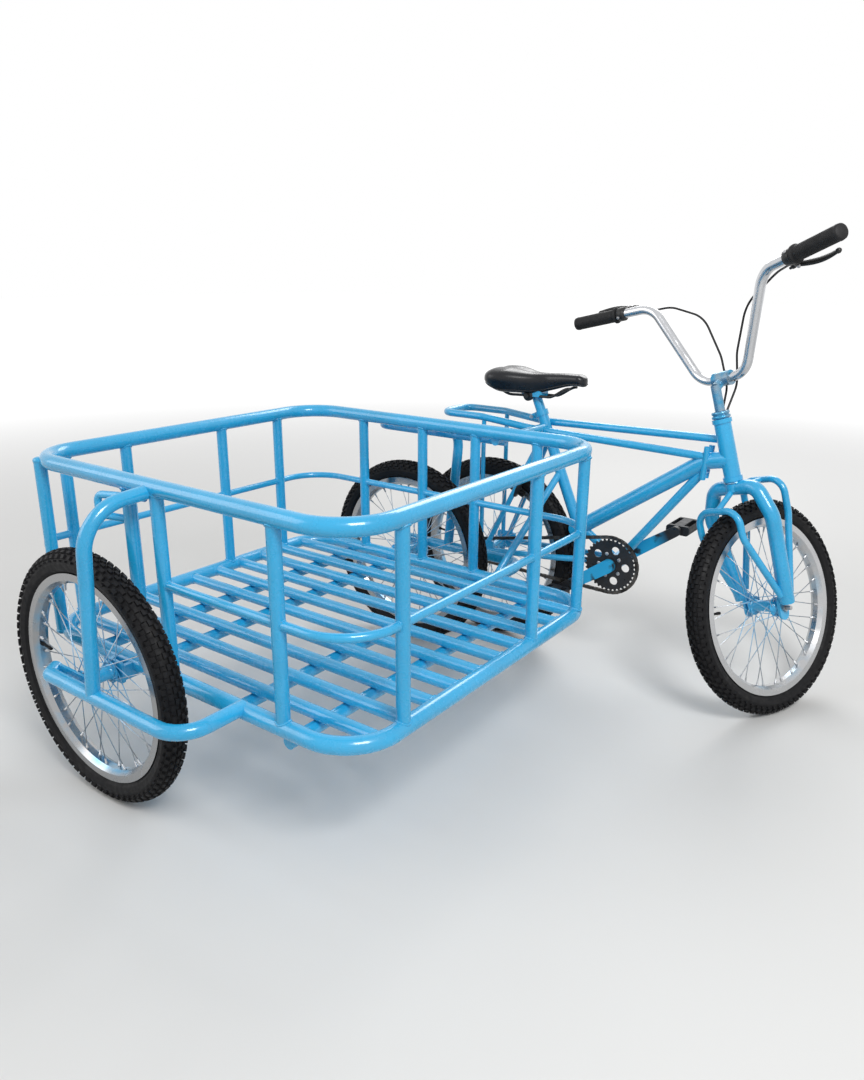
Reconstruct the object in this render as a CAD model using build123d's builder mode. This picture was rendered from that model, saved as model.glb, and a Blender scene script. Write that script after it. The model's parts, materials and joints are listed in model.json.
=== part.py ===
from build123d import *
import math
import os

# Four-wheeled cargo bicycle: a small-wheeled bicycle with an open tube cage beside it on two wheels.
# Millimetres, +X forward, +Y to the rider's left, +Z up, ground at z = 0.
# While the pieces are drawn, x = 0 is the cart's axle line and y = 0 the bicycle's centre plane.
# The finished pieces are moved so that the origin is the middle of the whole footprint.

os.makedirs("parts", exist_ok=True)

# Wheels
wheel_diameter = 510.0
tyre_width = 54.0
rim_seat_radius = 205.0
rim_lip_height = 4.5
rim_inner_radius = 188.0
rim_width = 33.0
rim_wall = 2.2
spoke_thickness = 2.0
spoke_count = 36
hub_barrel_diameter = 30.0
hub_flange_diameter = 46.0
hub_flange_thickness = 3.0
axle_diameter = 10.0
running_clearance = 0.05
end_clearance = 0.3
nut_across_flats = 17.0
nut_height = 7.0

# Cargo cage, centre lines of its tubes
cage_length = 875.0
cage_width = 820.0
cage_front_x = 590.0
cage_left_y = -250.0
top_rail_z = 632.0
middle_rail_z = 452.0
floor_z = 262.0
rail_diameter = 32.0
rail_corner_radius = 100.0
middle_rail_diameter = 16.0
post_diameter = 25.0
slat_diameter = 25.0
slat_count = 10
slat_margin = 70.0
cross_member_diameter = 25.0

# Cart wheels and their guards
cart_wheel_gap = 74.0
cart_hub_length = 70.0
guard_reach = 62.0
guard_diameter = 28.0
guard_z = 268.0
guard_front_x = 345.0
guard_rear_x = -55.0
guard_corner_radius = 55.0
arch_diameter = 26.0
arch_top_x = 124.0
arch_foot_x = 88.0
arch_top_z = 616.0
arch_bend_radius = 80.0
platform_rear_x = -85.0
platform_near_gap = 50.0
platform_far_gap = 132.0
platform_z = 602.0
platform_diameter = 20.0
platform_corner_radius = 32.0
bracket_rod_diameter = 14.0
link_z = 612.0
axle_plate_thickness = 6.0

# Bicycle frame
rear_hub_x = 165.0
rear_hub_width = 110.0
bracket_z = 290.0
junction_x = 435.0
junction_z = 362.0
shell_diameter = 40.0
shell_length = 68.0
seat_tube_top_x = 305.0
seat_tube_top_z = 640.0
seat_tube_diameter = 28.6
seat_post_diameter = 25.4
seat_post_depth = 120.0
seat_collar_height = 14.0
main_tube_diameter = 40.0
main_tube_rise = 40.0
main_tube_bend_x = 742.0
main_tube_bend_z = 578.0
brace_tube_diameter = 22.0
top_tube_diameter = 19.0
stay_diameter = 16.0
thin_stay_diameter = 12.0
carrier_rear_x = 25.0
carrier_half_width = 60.0
carrier_z = 630.0
head_tie_x = 748.0
head_tie_top = 614.0
head_tie_foot = 536.0
head_tie_diameter = 14.0
upper_tube_rise = 84.0
lower_tube_end_z = 590.0

# Steering
head_angle = 73.0
head_bottom_x = 807.2
head_bottom_z = 550.9
head_tube_length = 125.0
head_tube_diameter = 38.0
head_tube_bore = 30.0
headset_diameter = 44.0
headset_height = 10.0
steerer_diameter = 25.4
fork_offset = 28.0
fork_leg_diameter = 34.0
fork_leg_spread = 62.0
fork_shoulder_spread = 86.0
fork_crown_drop = 24.0
fork_crown_diameter = 40.0
hoop_diameter = 16.0
rest_turn = 69.0
stem_diameter = 22.2
stem_rise = 97.0
stem_reach = 30.0
bar_diameter = 22.2
bar_flat_half = 62.0
bar_shoulder_half = 158.0
bar_end_half = 368.0
bar_rise = 203.0
bar_end_rise = 219.0
bar_end_back = 60.0
bar_bend_radius = 55.0
grip_diameter = 33.0
grip_length = 120.0

# Drive
chain_pitch = 12.7
chain_links = 86
ring_teeth = 36
sprocket_teeth = 16
chain_line = 45.0
chain_width = 7.0
chain_inner_width = 3.3
chain_plate_thickness = 1.0
chain_plate_height = 8.0
roller_diameter = 7.7
tooth_depth = 4.5
toothed_wheel_thickness = 2.6
spider_holes = 5
spider_hole_diameter = 21.0
spider_hole_radius = 42.0
crank_length = 150.0
crank_thickness = 12.0
crank_boss_diameter = 34.0
crank_eye_diameter = 26.0
crank_rest_angle = 215.0
spindle_diameter = 17.0
pedal_width = 86.0
pedal_depth = 60.0
pedal_thickness = 24.0
pedal_axle_diameter = 12.0
pedal_gap = 6.0
pedal_slot_spacing = 38.0
pedal_slot_depth = 14.0
pedal_end_plate = 10.0

# Saddle
saddle_length = 281.0
saddle_width = 160.0
saddle_nose_width = 46.0
saddle_height = 52.0
saddle_rear_x = 144.0
saddle_top_z = 760.0

# Places that follow from the sizes
ring_radius = wheel_diameter / 2 - tyre_width / 2
wheel_z = wheel_diameter / 2
cage_rear_x = cage_front_x - cage_length
cage_mid_x = cage_front_x - cage_length / 2
cage_right_y = cage_left_y - cage_width
cage_mid_y = cage_left_y - cage_width / 2
left_wheel_y = cage_left_y + cart_wheel_gap
right_wheel_y = cage_right_y - cart_wheel_gap
cross_member_z = floor_z - slat_diameter / 2 - cross_member_diameter / 2

lean = math.radians(head_angle)
steer_up = Vector(-math.cos(lean), 0, math.sin(lean))
steer_ahead = Vector(math.sin(lean), 0, math.cos(lean))
steer_side = Vector(0, 1, 0)
head_bottom = Vector(head_bottom_x, 0, head_bottom_z)
steering_axis = Axis(head_bottom, steer_up)

# The fork is as long as it takes for the turned front wheel to stand on the ground
turn = math.radians(rest_turn)
ahead_turned = steer_ahead * math.cos(turn) + steer_side * math.sin(turn)
side_turned = steer_side * math.cos(turn) - steer_ahead * math.sin(turn)
standing_z = ring_radius * math.sqrt(1 - side_turned.Z**2) + tyre_width / 2
fork_length = (head_bottom_z + fork_offset * ahead_turned.Z - standing_z) / steer_up.Z


def steer_point(side, along, ahead=0.0):
    """Point of the straight-ahead steering, from the head tube's lower end."""
    return head_bottom + steer_side * side + steer_up * along + steer_ahead * ahead


front_hub = steer_point(0, -fork_length, fork_offset)


# The crank's distance from the rear hub follows from the chain
def pitch_radius(teeth):
    return chain_pitch / (2 * math.sin(math.pi / teeth))


ring_pitch_radius = pitch_radius(ring_teeth)
sprocket_pitch_radius = pitch_radius(sprocket_teeth)


def links_around(distance):
    """Chain links in a loop round both toothed wheels at this centre distance."""
    slope = math.asin((ring_pitch_radius - sprocket_pitch_radius) / distance)
    straight = 2 * distance * math.cos(slope) / chain_pitch
    front = ring_teeth * (math.pi + 2 * slope) / (2 * math.pi)
    rear = sprocket_teeth * (math.pi - 2 * slope) / (2 * math.pi)
    return straight + front + rear


chain_centres = (chain_links - (ring_teeth + sprocket_teeth) / 2) * chain_pitch / 2
for _ in range(20):
    chain_centres += (chain_links - links_around(chain_centres)) * chain_pitch / 2
bracket_x = rear_hub_x + math.sqrt(chain_centres**2 - (bracket_z - wheel_z) ** 2)

# Where the chain meets the toothed wheels, and its links on each straight and on the sprocket
slope = math.asin((ring_pitch_radius - sprocket_pitch_radius) / chain_centres)
rise = math.atan2(bracket_z - wheel_z, bracket_x - rear_hub_x)
upper_angle = math.pi / 2 + rise + slope
lower_angle = -math.pi / 2 + rise - slope
straight_links = chain_centres * math.cos(slope) / chain_pitch
sprocket_links = sprocket_teeth * (math.pi - 2 * slope) / (2 * math.pi)
wheels_in_chain = {
    "ring": ((bracket_x, bracket_z), ring_pitch_radius),
    "sprocket": ((rear_hub_x, wheel_z), sprocket_pitch_radius),
}


def toothed_outline(teeth, first_gap):
    """Adds a toothed disc's outline to a sketch. Its teeth end just under the chain's rollers."""
    tip = pitch_radius(teeth) - chain_plate_height / 2 - end_clearance
    step = 2 * math.pi / teeth
    corners = []
    for tooth in range(teeth):
        middle = first_gap + (tooth + 0.5) * step
        for share, radius in ((-0.36, tip - tooth_depth), (-0.14, tip), (0.14, tip), (0.36, tip - tooth_depth)):
            corners.append((radius * math.cos(middle + share * step), radius * math.sin(middle + share * step)))
    Polygon(*corners, align=None)

pieces = {}


def keep(name, part, steered=False):
    """Puts a finished piece on the list, turned with the steering if it belongs there."""
    pieces[name] = part.rotate(steering_axis, rest_turn) if steered else part


def tube(points, diameter, bends=None):
    """Adds a round tube along straight runs, with bends between them."""
    if bends is None:
        start = Vector(points[0])
        run = Vector(points[1]) - start
        with BuildSketch(Plane(origin=start, z_dir=run)) as section:
            Circle(diameter / 2)
        extrude(section.sketch, amount=run.length)
    else:
        with BuildLine() as route:
            FilletPolyline(*points, radius=bends)
        path = route.wire()
        with BuildSketch(Plane(origin=path @ 0, z_dir=path % 0)) as section:
            Circle(diameter / 2)
        sweep(section.sketch, path=path)


def ring_rail(height, diameter):
    """Adds a closed rail round the cage with rounded corners."""
    with BuildSketch(Plane((cage_mid_x, cage_mid_y, height))) as outline:
        RectangleRounded(cage_length, cage_width, rail_corner_radius)
    path = outline.sketch.face().outer_wire()
    with BuildSketch(Plane(origin=path @ 0, z_dir=path % 0)) as section:
        Circle(diameter / 2)
    sweep(section.sketch, path=path)


# Cage rails
with BuildPart() as top_rail:
    ring_rail(top_rail_z, rail_diameter)
keep("cage_top_rail", top_rail.part)

with BuildPart() as floor_rail:
    ring_rail(floor_z, rail_diameter)
keep("cage_bottom_rail", floor_rail.part)

# Posts stand between the two rails
right_post_x = (-240.0, 53.0, 136.0, 430.0)
left_post_x = (-96.0, 101.0, 262.0, 433.0)
front_post_y = (-948.0, -523.0, -323.0)
rear_post_y = (-992.0, -845.0, -572.0, -384.0)
post_feet = [(x, cage_right_y) for x in right_post_x]
post_feet += [(x, cage_left_y) for x in left_post_x]
post_feet += [(cage_front_x, y) for y in front_post_y]
post_feet += [(cage_rear_x, y) for y in rear_post_y]

with BuildPart() as posts:
    with BuildSketch(Plane.XY.offset(floor_z)):
        with Locations(*post_feet):
            Circle(post_diameter / 2)
    extrude(amount=top_rail_z - floor_z)
    add(top_rail.part, mode=Mode.SUBTRACT)
    add(floor_rail.part, mode=Mode.SUBTRACT)
keep("cage_posts", posts.part)

# Middle rail: round the cage from one side post to the other, open between them
with BuildPart() as middle_rail:
    tube(
        [
            (right_post_x[2], cage_right_y, middle_rail_z),
            (cage_front_x, cage_right_y, middle_rail_z),
            (cage_front_x, cage_left_y, middle_rail_z),
            (cage_rear_x, cage_left_y, middle_rail_z),
            (cage_rear_x, cage_right_y, middle_rail_z),
            (right_post_x[0], cage_right_y, middle_rail_z),
        ],
        middle_rail_diameter,
        [rail_corner_radius, rail_corner_radius, rail_corner_radius, right_post_x[0] - cage_rear_x - 1],
    )
    add(posts.part, mode=Mode.SUBTRACT)
keep("cage_middle_rail", middle_rail.part)

# Floor slats on cross members
slat_pitch = (cage_width - 2 * slat_margin) / (slat_count - 1)
slat_ys = [cage_left_y - slat_margin - slat_pitch * i for i in range(slat_count)]
with BuildPart() as slats:
    with BuildSketch(Plane.YZ.offset(cage_rear_x)):
        with Locations(*[(y, floor_z) for y in slat_ys]):
            Circle(slat_diameter / 2)
    extrude(amount=cage_length)
    add(floor_rail.part, mode=Mode.SUBTRACT)
    add(posts.part, mode=Mode.SUBTRACT)
keep("floor_slats", slats.part)

cross_member_xs = (-150.0, -8.0, 280.0, 440.0)
with BuildPart() as cross_members:
    with BuildSketch(Plane.XZ.offset(-cage_left_y)):
        with Locations(*[(x, cross_member_z) for x in cross_member_xs]):
            Circle(cross_member_diameter / 2)
    extrude(amount=cage_width)
    add(floor_rail.part, mode=Mode.SUBTRACT)
keep("floor_cross_members", cross_members.part)


# The links that hold the cage to the bicycle meet the seat tube here
seat_foot = Vector(junction_x - 10, 0, junction_z)
seat_top = Vector(seat_tube_top_x, 0, seat_tube_top_z)
seat_up = (seat_top - seat_foot).normalized()


def seat_tube_x(z):
    """Seat tube's centre line at a height."""
    return seat_foot.X + (z - seat_foot.Z) * seat_up.X / seat_up.Z


with BuildPart() as upper_link:
    tube([(seat_tube_x(link_z), 0, link_z), (seat_tube_x(link_z), cage_left_y, link_z)], brace_tube_diameter)


# Wheel guards: a low loop outside each cart wheel and an arch over it
def guard_parts(rail_y, wheel_y):
    """Low loop and arch of one cart wheel as one welded frame."""
    out = 1 if wheel_y > rail_y else -1
    run_y = wheel_y + out * guard_reach
    with BuildPart() as frame:
        tube(
            [
                (guard_front_x - 15, rail_y, guard_z),
                (guard_front_x - 15, run_y, guard_z),
                (guard_rear_x, run_y, guard_z),
                (guard_rear_x - 18, run_y - out * 24, guard_z),
            ],
            guard_diameter,
            [guard_corner_radius, 12],
        )
        tube(
            [
                (arch_top_x, rail_y, top_rail_z - 6),
                (arch_top_x, run_y, arch_top_z),
                (arch_foot_x, run_y, guard_z),
            ],
            arch_diameter,
            [arch_bend_radius],
        )
        if out > 0:
            platform()
        else:
            bracket_rod()
        add(top_rail.part, mode=Mode.SUBTRACT)
        add(floor_rail.part, mode=Mode.SUBTRACT)
        add(posts.part, mode=Mode.SUBTRACT)
    return frame.part


def platform():
    """Adds the flat loop over the inner cart wheel, open at the front, under the upper link."""
    near_y = cage_left_y + platform_near_gap
    far_y = cage_left_y + platform_far_gap
    tube(
        [
            (seat_tube_x(link_z), near_y, platform_z),
            (platform_rear_x, near_y, platform_z),
            (platform_rear_x, far_y, platform_z),
            (seat_tube_x(link_z), far_y, platform_z),
        ],
        platform_diameter,
        [platform_corner_radius, platform_corner_radius],
    )
    add(upper_link.part, mode=Mode.SUBTRACT)


def bracket_rod():
    """Adds the thin bent rod from the outer arch to the post behind it."""
    tube(
        [
            (arch_top_x - 4, cage_right_y - 12, top_rail_z - 18),
            (right_post_x[1] - 45, cage_right_y - 34, top_rail_z - 24),
            (right_post_x[1] - 45, cage_right_y - 34, top_rail_z - 62),
            (right_post_x[1], cage_right_y, top_rail_z - 72),
        ],
        bracket_rod_diameter,
        [14, 14],
    )


with BuildPart() as guards:
    add(guard_parts(cage_right_y, right_wheel_y))
    add(guard_parts(cage_left_y, left_wheel_y))
keep("wheel_guards", guards.part)

# Axle plates and axles of the cart wheels
axle_reach = cart_hub_length / 2 + axle_plate_thickness + nut_height


def axle_solid(half_length, plate_span):
    """Axle along Z with a nut outside each plate."""
    with BuildPart() as axle:
        with BuildSketch(Plane.XY.offset(-half_length)):
            Circle(axle_diameter / 2)
        extrude(amount=2 * half_length)
        for side in (-1, 1):
            with BuildSketch(Plane.XY.offset(side * plate_span)):
                RegularPolygon(nut_across_flats / 2, 6, major_radius=False)
            extrude(amount=side * nut_height)
    return axle.part


def stand(part, centre, direction=(0, 1, 0)):
    """Puts a piece made along Z at its place along another direction."""
    return Plane(origin=centre, x_dir=(0, 0, 1), z_dir=direction).location * part


cart_axle = axle_solid(axle_reach, axle_reach - nut_height)


def axle_plates(rail_y, wheel_y):
    """Plates that hold the axle: one on the cage's rail, one on the guard's loop."""
    out = 1 if wheel_y > rail_y else -1
    inner_y = wheel_y - out * (cart_hub_length / 2 + axle_plate_thickness)
    outer_y = wheel_y + out * cart_hub_length / 2
    with BuildPart() as plates:
        with BuildSketch(Plane((0, inner_y, wheel_z), x_dir=(1, 0, 0), z_dir=(0, out, 0))):
            RectangleRounded(60, 44, 8)
        extrude(amount=axle_plate_thickness)
        with BuildSketch(Plane((0, rail_y, wheel_z), x_dir=(1, 0, 0), z_dir=(0, out, 0))):
            with Locations((-24, 0), (24, 0)):
                Rectangle(10, 30)
        extrude(amount=cart_wheel_gap - cart_hub_length / 2 - axle_plate_thickness / 2)
        with BuildSketch(Plane((-16, outer_y, wheel_z + 2), x_dir=(1, 0, 0), z_dir=(0, out, 0))):
            RectangleRounded(100, 44, 8)
        extrude(amount=axle_plate_thickness)
        add(guards.part, mode=Mode.SUBTRACT)
        add(floor_rail.part, mode=Mode.SUBTRACT)
        with BuildSketch(Plane((0, wheel_y - 100, wheel_z), x_dir=(1, 0, 0), z_dir=(0, 1, 0))):
            Circle(axle_diameter / 2)
        extrude(amount=200, mode=Mode.SUBTRACT)
    return plates.part


with BuildPart() as cart_plates:
    add(axle_plates(cage_right_y, right_wheel_y))
    add(axle_plates(cage_left_y, left_wheel_y))
keep("cart_axle_plates", cart_plates.part)

# Wheels, made about Z
lip_radius = rim_seat_radius + rim_lip_height
lip_inner = rim_width / 2 - rim_wall
with BuildPart() as rim:
    with BuildSketch(Plane.XZ) as rim_section:
        with BuildLine():
            Polyline(
                (rim_inner_radius, -rim_width / 5),
                (rim_inner_radius + 7, -rim_width / 2),
                (lip_radius, -rim_width / 2),
                (lip_radius, -lip_inner),
                (rim_seat_radius, -lip_inner),
                (rim_seat_radius, lip_inner),
                (lip_radius, lip_inner),
                (lip_radius, rim_width / 2),
                (rim_inner_radius + 7, rim_width / 2),
                (rim_inner_radius, rim_width / 5),
                close=True,
            )
        make_face()
    revolve(axis=Axis.Z)

with BuildPart() as tyre:
    with BuildSketch(Plane.XZ):
        with Locations((ring_radius, 0)):
            Circle(tyre_width / 2)
        with Locations((rim_seat_radius, 0)):
            Rectangle(2 * rim_lip_height, 2 * tyre_width, align=(Align.MAX, Align.CENTER), mode=Mode.SUBTRACT)
        add(rim_section.sketch, mode=Mode.SUBTRACT)
    revolve(axis=Axis.Z)


def wire_hub(hub_length, flange_spread):
    """Hub with bore and flanges, and its crossed spokes out to the rim."""
    hole_radius = hub_flange_diameter / 2 - 4
    barrel_length = hub_length - 2 * end_clearance
    with BuildPart() as spokes:
        for side in (0, 1):
            level = (0.5 - side) * flange_spread
            for lead in (0, 1):
                first = 20.0 * lead + 10.0 * side
                last = first + (60 if lead == 0 else -60)
                inner = Vector(hole_radius, 0, level).rotate(Axis.Z, first)
                outer = Vector(rim_inner_radius - end_clearance, 0, level / 8).rotate(Axis.Z, last)
                run = outer - inner
                with BuildSketch(Plane(origin=inner, z_dir=run)) as section:
                    Rectangle(spoke_thickness, spoke_thickness)
                extrude(section.sketch, amount=run.length)
    with BuildPart() as hub:
        with BuildSketch(Plane.XY.offset(-barrel_length / 2)):
            Circle(hub_barrel_diameter / 2 - 5)
        extrude(amount=barrel_length)
        with BuildSketch(Plane.XY.offset(-flange_spread / 2)):
            Circle(hub_barrel_diameter / 2)
        extrude(amount=flange_spread)
        for side in (-1, 1):
            with BuildSketch(Plane.XY.offset(side * flange_spread / 2)):
                Circle(hub_flange_diameter / 2)
            extrude(amount=hub_flange_thickness / 2, both=True)
        with PolarLocations(0, spoke_count // 4):
            add(spokes.part)
        with BuildSketch(Plane.XY.offset(-hub_length / 2)):
            Circle(axle_diameter / 2 + running_clearance)
        extrude(amount=hub_length, mode=Mode.SUBTRACT)
    return hub.part


front_hub_width = 2 * fork_leg_spread - fork_leg_diameter
cart_hub = wire_hub(cart_hub_length, cart_hub_length - 14)
front_hub_solid = wire_hub(front_hub_width, front_hub_width - 30)
rear_hub_solid = wire_hub(rear_hub_width, rear_hub_width - 52)

sprocket_gap = upper_angle + (math.ceil(straight_links) - straight_links) * 2 * math.pi / sprocket_teeth
with BuildPart() as sprocket:
    with BuildSketch(Plane((rear_hub_x, -chain_line, wheel_z), x_dir=(1, 0, 0), z_dir=(0, -1, 0))):
        toothed_outline(sprocket_teeth, sprocket_gap)
        Circle(hub_barrel_diameter / 2 - 5, mode=Mode.SUBTRACT)
    extrude(amount=toothed_wheel_thickness / 2, both=True)

wheel_places = {
    "left": ((0, left_wheel_y, wheel_z), cart_hub, False),
    "right": ((0, right_wheel_y, wheel_z), cart_hub, False),
    "rear": ((rear_hub_x, 0, wheel_z), rear_hub_solid, False),
    "front": (front_hub, front_hub_solid, True),
}
for wheel_name, (centre, hub, steered) in wheel_places.items():
    keep(f"{wheel_name}_tyre", stand(tyre.part, centre), steered)
    keep(f"{wheel_name}_rim", stand(rim.part, centre), steered)
    keep(f"{wheel_name}_hub", stand(hub, centre), steered)
keep("sprocket", sprocket.part)

# Bicycle frame
junction = Vector(junction_x, 0, junction_z)
bracket = Vector(bracket_x, 0, bracket_z)
head_top = steer_point(0, head_tube_length)
main_tube_top = steer_point(0, main_tube_rise)
main_tube_bend = Vector(main_tube_bend_x, 0, main_tube_bend_z)

with BuildPart() as head_tube:
    tube([head_bottom, head_top], head_tube_diameter)
    tube_core = Plane(origin=head_bottom, z_dir=steer_up)
    with BuildSketch(tube_core):
        Circle(head_tube_bore / 2)
    extrude(amount=head_tube_length, mode=Mode.SUBTRACT)
keep("head_tube", head_tube.part)

with BuildPart() as headset:
    with BuildSketch(tube_core):
        Circle(headset_diameter / 2)
        Circle(steerer_diameter / 2 + running_clearance, mode=Mode.SUBTRACT)
    extrude(amount=-headset_height)
    with BuildSketch(tube_core.offset(head_tube_length)):
        Circle(headset_diameter / 2)
        Circle(steerer_diameter / 2 + running_clearance, mode=Mode.SUBTRACT)
    extrude(amount=headset_height)
keep("headset_cups", headset.part)

with BuildPart() as shell_blank:
    with BuildSketch(Plane.XZ.offset(-shell_length / 2)):
        with Locations((bracket_x, bracket_z), (junction_x, junction_z)):
            Circle(shell_diameter / 2)
    extrude(amount=shell_length)

with BuildPart() as bracket_shell:
    add(shell_blank.part)
    with BuildSketch(Plane.XZ.offset(-shell_length / 2)):
        with Locations((bracket_x, bracket_z)):
            Circle(spindle_diameter / 2 + running_clearance)
    extrude(amount=shell_length, mode=Mode.SUBTRACT)

with BuildPart() as main_tube:
    tube([junction, main_tube_bend, main_tube_top], main_tube_diameter, [60])
    add(shell_blank.part, mode=Mode.SUBTRACT)
    with BuildSketch(tube_core) as head_core:
        Circle(head_tube_diameter / 2)
    extrude(head_core.sketch, amount=head_tube_length, mode=Mode.SUBTRACT)
keep("main_tube", main_tube.part)

with BuildPart() as seat_tube:
    tube([seat_foot, seat_top], seat_tube_diameter)
    add(shell_blank.part, mode=Mode.SUBTRACT)
    add(main_tube.part, mode=Mode.SUBTRACT)
    with BuildSketch(Plane(origin=seat_top, z_dir=seat_up)):
        Circle(seat_tube_diameter / 2 + 3)
        with Locations((-seat_tube_diameter / 2 - 6, 0)):
            Rectangle(14, 16)
    extrude(amount=seat_collar_height)
    with BuildSketch(Plane(origin=seat_top, z_dir=seat_up)) as post_core:
        Circle(seat_post_diameter / 2)
    extrude(post_core.sketch, amount=-seat_post_depth, mode=Mode.SUBTRACT)
    extrude(post_core.sketch, amount=seat_collar_height, mode=Mode.SUBTRACT)
keep("seat_tube", seat_tube.part)

with BuildPart() as brace_tube:
    tube([bracket, main_tube_bend - Vector(0, 0, 20)], brace_tube_diameter)
    tube([bracket, junction], brace_tube_diameter)
    for side in (-1, 1):
        tube([(head_tie_x, side * 17, head_tie_top), (head_tie_x - 6, side * 11, head_tie_foot)], head_tie_diameter)
    add(shell_blank.part, mode=Mode.SUBTRACT)
    add(main_tube.part, mode=Mode.SUBTRACT)
    add(seat_tube.part, mode=Mode.SUBTRACT)
    extrude(head_core.sketch, amount=head_tube_length, mode=Mode.SUBTRACT)

with BuildPart() as bracket_tubes:
    add(bracket_shell.part)
    add(brace_tube.part)
keep("bracket_and_brace_tubes", bracket_tubes.part)

# Twin top tubes run back past the seat tube into the carrier's loop
side_at_seat = seat_tube_diameter / 2 + top_tube_diameter / 2 - 1
with BuildPart() as top_tubes:
    tube(
        [
            steer_point(10, upper_tube_rise),
            (seat_tube_top_x, side_at_seat, 622),
            (carrier_rear_x + 130, carrier_half_width, carrier_z),
            (carrier_rear_x, carrier_half_width, carrier_z),
            (carrier_rear_x, -carrier_half_width, carrier_z),
            (carrier_rear_x + 130, -carrier_half_width, carrier_z),
            (seat_tube_top_x, -side_at_seat, 606),
            (head_tie_x, -10, lower_tube_end_z),
        ],
        top_tube_diameter,
        [100, 100, 35, 35, 100, 100],
    )
    add(seat_tube.part, mode=Mode.SUBTRACT)
    add(main_tube.part, mode=Mode.SUBTRACT)
    add(brace_tube.part, mode=Mode.SUBTRACT)
    extrude(head_core.sketch, amount=head_tube_length, mode=Mode.SUBTRACT)
keep("top_tubes_and_carrier", top_tubes.part)

# Dropouts and stays
dropout_y = rear_hub_width / 2
with BuildPart() as dropouts:
    for side in (-1, 1):
        with BuildSketch(Plane((rear_hub_x + 8, side * dropout_y, wheel_z + 8), x_dir=(1, 0, 0), z_dir=(0, side, 0))):
            RectangleRounded(60, 48, 10)
        extrude(amount=axle_plate_thickness)
    with BuildSketch(Plane((rear_hub_x, -200, wheel_z), x_dir=(1, 0, 0), z_dir=(0, 1, 0))):
        Circle(axle_diameter / 2)
    extrude(amount=400, mode=Mode.SUBTRACT)

stay_y = dropout_y + axle_plate_thickness / 2
brake_bridge_x = rear_hub_x + 109
brake_bridge_z = wheel_z + 250
with BuildPart() as chain_stays:
    for side in (-1, 1):
        tube(
            [
                (rear_hub_x + 22, side * stay_y, wheel_z + 6),
                (385, side * 42.5, 277),
                (460, side * 30, 284),
                (bracket_x, side * 24, bracket_z),
            ],
            stay_diameter,
            [200, 200],
        )
    add(shell_blank.part, mode=Mode.SUBTRACT)
    add(dropouts.part, mode=Mode.SUBTRACT)
    add(brace_tube.part, mode=Mode.SUBTRACT)

with BuildPart() as seat_stays:
    for side in (-1, 1):
        tube([(seat_tube_x(600) + 2, side * 24, 600), (rear_hub_x + 14, side * stay_y, wheel_z + 18)], thin_stay_diameter + 2)
    tube([(brake_bridge_x, -34, brake_bridge_z), (brake_bridge_x, 34, brake_bridge_z)], thin_stay_diameter)
    add(dropouts.part, mode=Mode.SUBTRACT)
    add(seat_tube.part, mode=Mode.SUBTRACT)
    add(top_tubes.part, mode=Mode.SUBTRACT)

with BuildPart() as carrier_stays:
    for side in (-1, 1):
        tube(
            [(rear_hub_x - 4, side * (carrier_half_width - 2), carrier_z), (rear_hub_x - 4, side * stay_y, wheel_z + 20)],
            thin_stay_diameter,
        )
    add(dropouts.part, mode=Mode.SUBTRACT)
    add(top_tubes.part, mode=Mode.SUBTRACT)

with BuildPart() as rear_triangle:
    add(dropouts.part)
    add(chain_stays.part)
    add(seat_stays.part)
    add(carrier_stays.part)
keep("rear_stays_and_dropouts", rear_triangle.part)

rear_axle = axle_solid(dropout_y + axle_plate_thickness + nut_height + 4, dropout_y + axle_plate_thickness)
with BuildPart() as rear_axles:
    add(stand(rear_axle, (rear_hub_x, 0, wheel_z)))
    add(stand(cart_axle, (0, left_wheel_y, wheel_z)))
    add(stand(cart_axle, (0, right_wheel_y, wheel_z)))
keep("rear_and_cart_axles", rear_axles.part)

# Links that hold the cage to the bicycle
with BuildPart() as links:
    add(upper_link.part)
    tube([(seat_tube_x(500), 0, 500), (325, cage_left_y, floor_z)], thin_stay_diameter + 6)
    add(seat_tube.part, mode=Mode.SUBTRACT)
    add(top_tubes.part, mode=Mode.SUBTRACT)
    add(rear_triangle.part, mode=Mode.SUBTRACT)
    add(top_rail.part, mode=Mode.SUBTRACT)
    add(floor_rail.part, mode=Mode.SUBTRACT)
    add(guards.part, mode=Mode.SUBTRACT)
    extrude(post_core.sketch, amount=-seat_post_depth, mode=Mode.SUBTRACT)
keep("cart_links", links.part)

# Seat post and saddle
saddle_bottom_z = saddle_top_z - saddle_height
saddle_mid_x = saddle_rear_x + saddle_length / 2
post_top = seat_top + seat_up * ((saddle_bottom_z - 6 - seat_top.Z) / seat_up.Z)
with BuildPart() as seat_post:
    tube([seat_top - seat_up * seat_post_depth, post_top], seat_post_diameter)
    with BuildSketch(Plane((post_top.X, 0, saddle_bottom_z - 18))):
        RectangleRounded(60, 50, 10)
    extrude(amount=18)
keep("seat_post", seat_post.part)

with BuildPart() as saddle:
    with BuildSketch(Plane.XY.offset(saddle_bottom_z)):
        with BuildLine():
            nose_x = saddle_rear_x + saddle_length
            rear_arc_x = saddle_rear_x + saddle_width / 2
            FilletPolyline(
                (saddle_rear_x, -saddle_width / 2),
                (rear_arc_x, -saddle_width / 2),
                (saddle_mid_x + 20, -saddle_nose_width / 2 - 4),
                (nose_x, -saddle_nose_width / 2),
                (nose_x, saddle_nose_width / 2),
                (saddle_mid_x + 20, saddle_nose_width / 2 + 4),
                (rear_arc_x, saddle_width / 2),
                (saddle_rear_x, saddle_width / 2),
                radius=18,
                close=True,
            )
        make_face()
    extrude(amount=saddle_height)
    fillet(saddle.faces().sort_by(Axis.Z)[-1].edges(), 14)
keep("saddle", saddle.part)

# Chain as a closed loop of links round both toothed wheels


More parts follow.
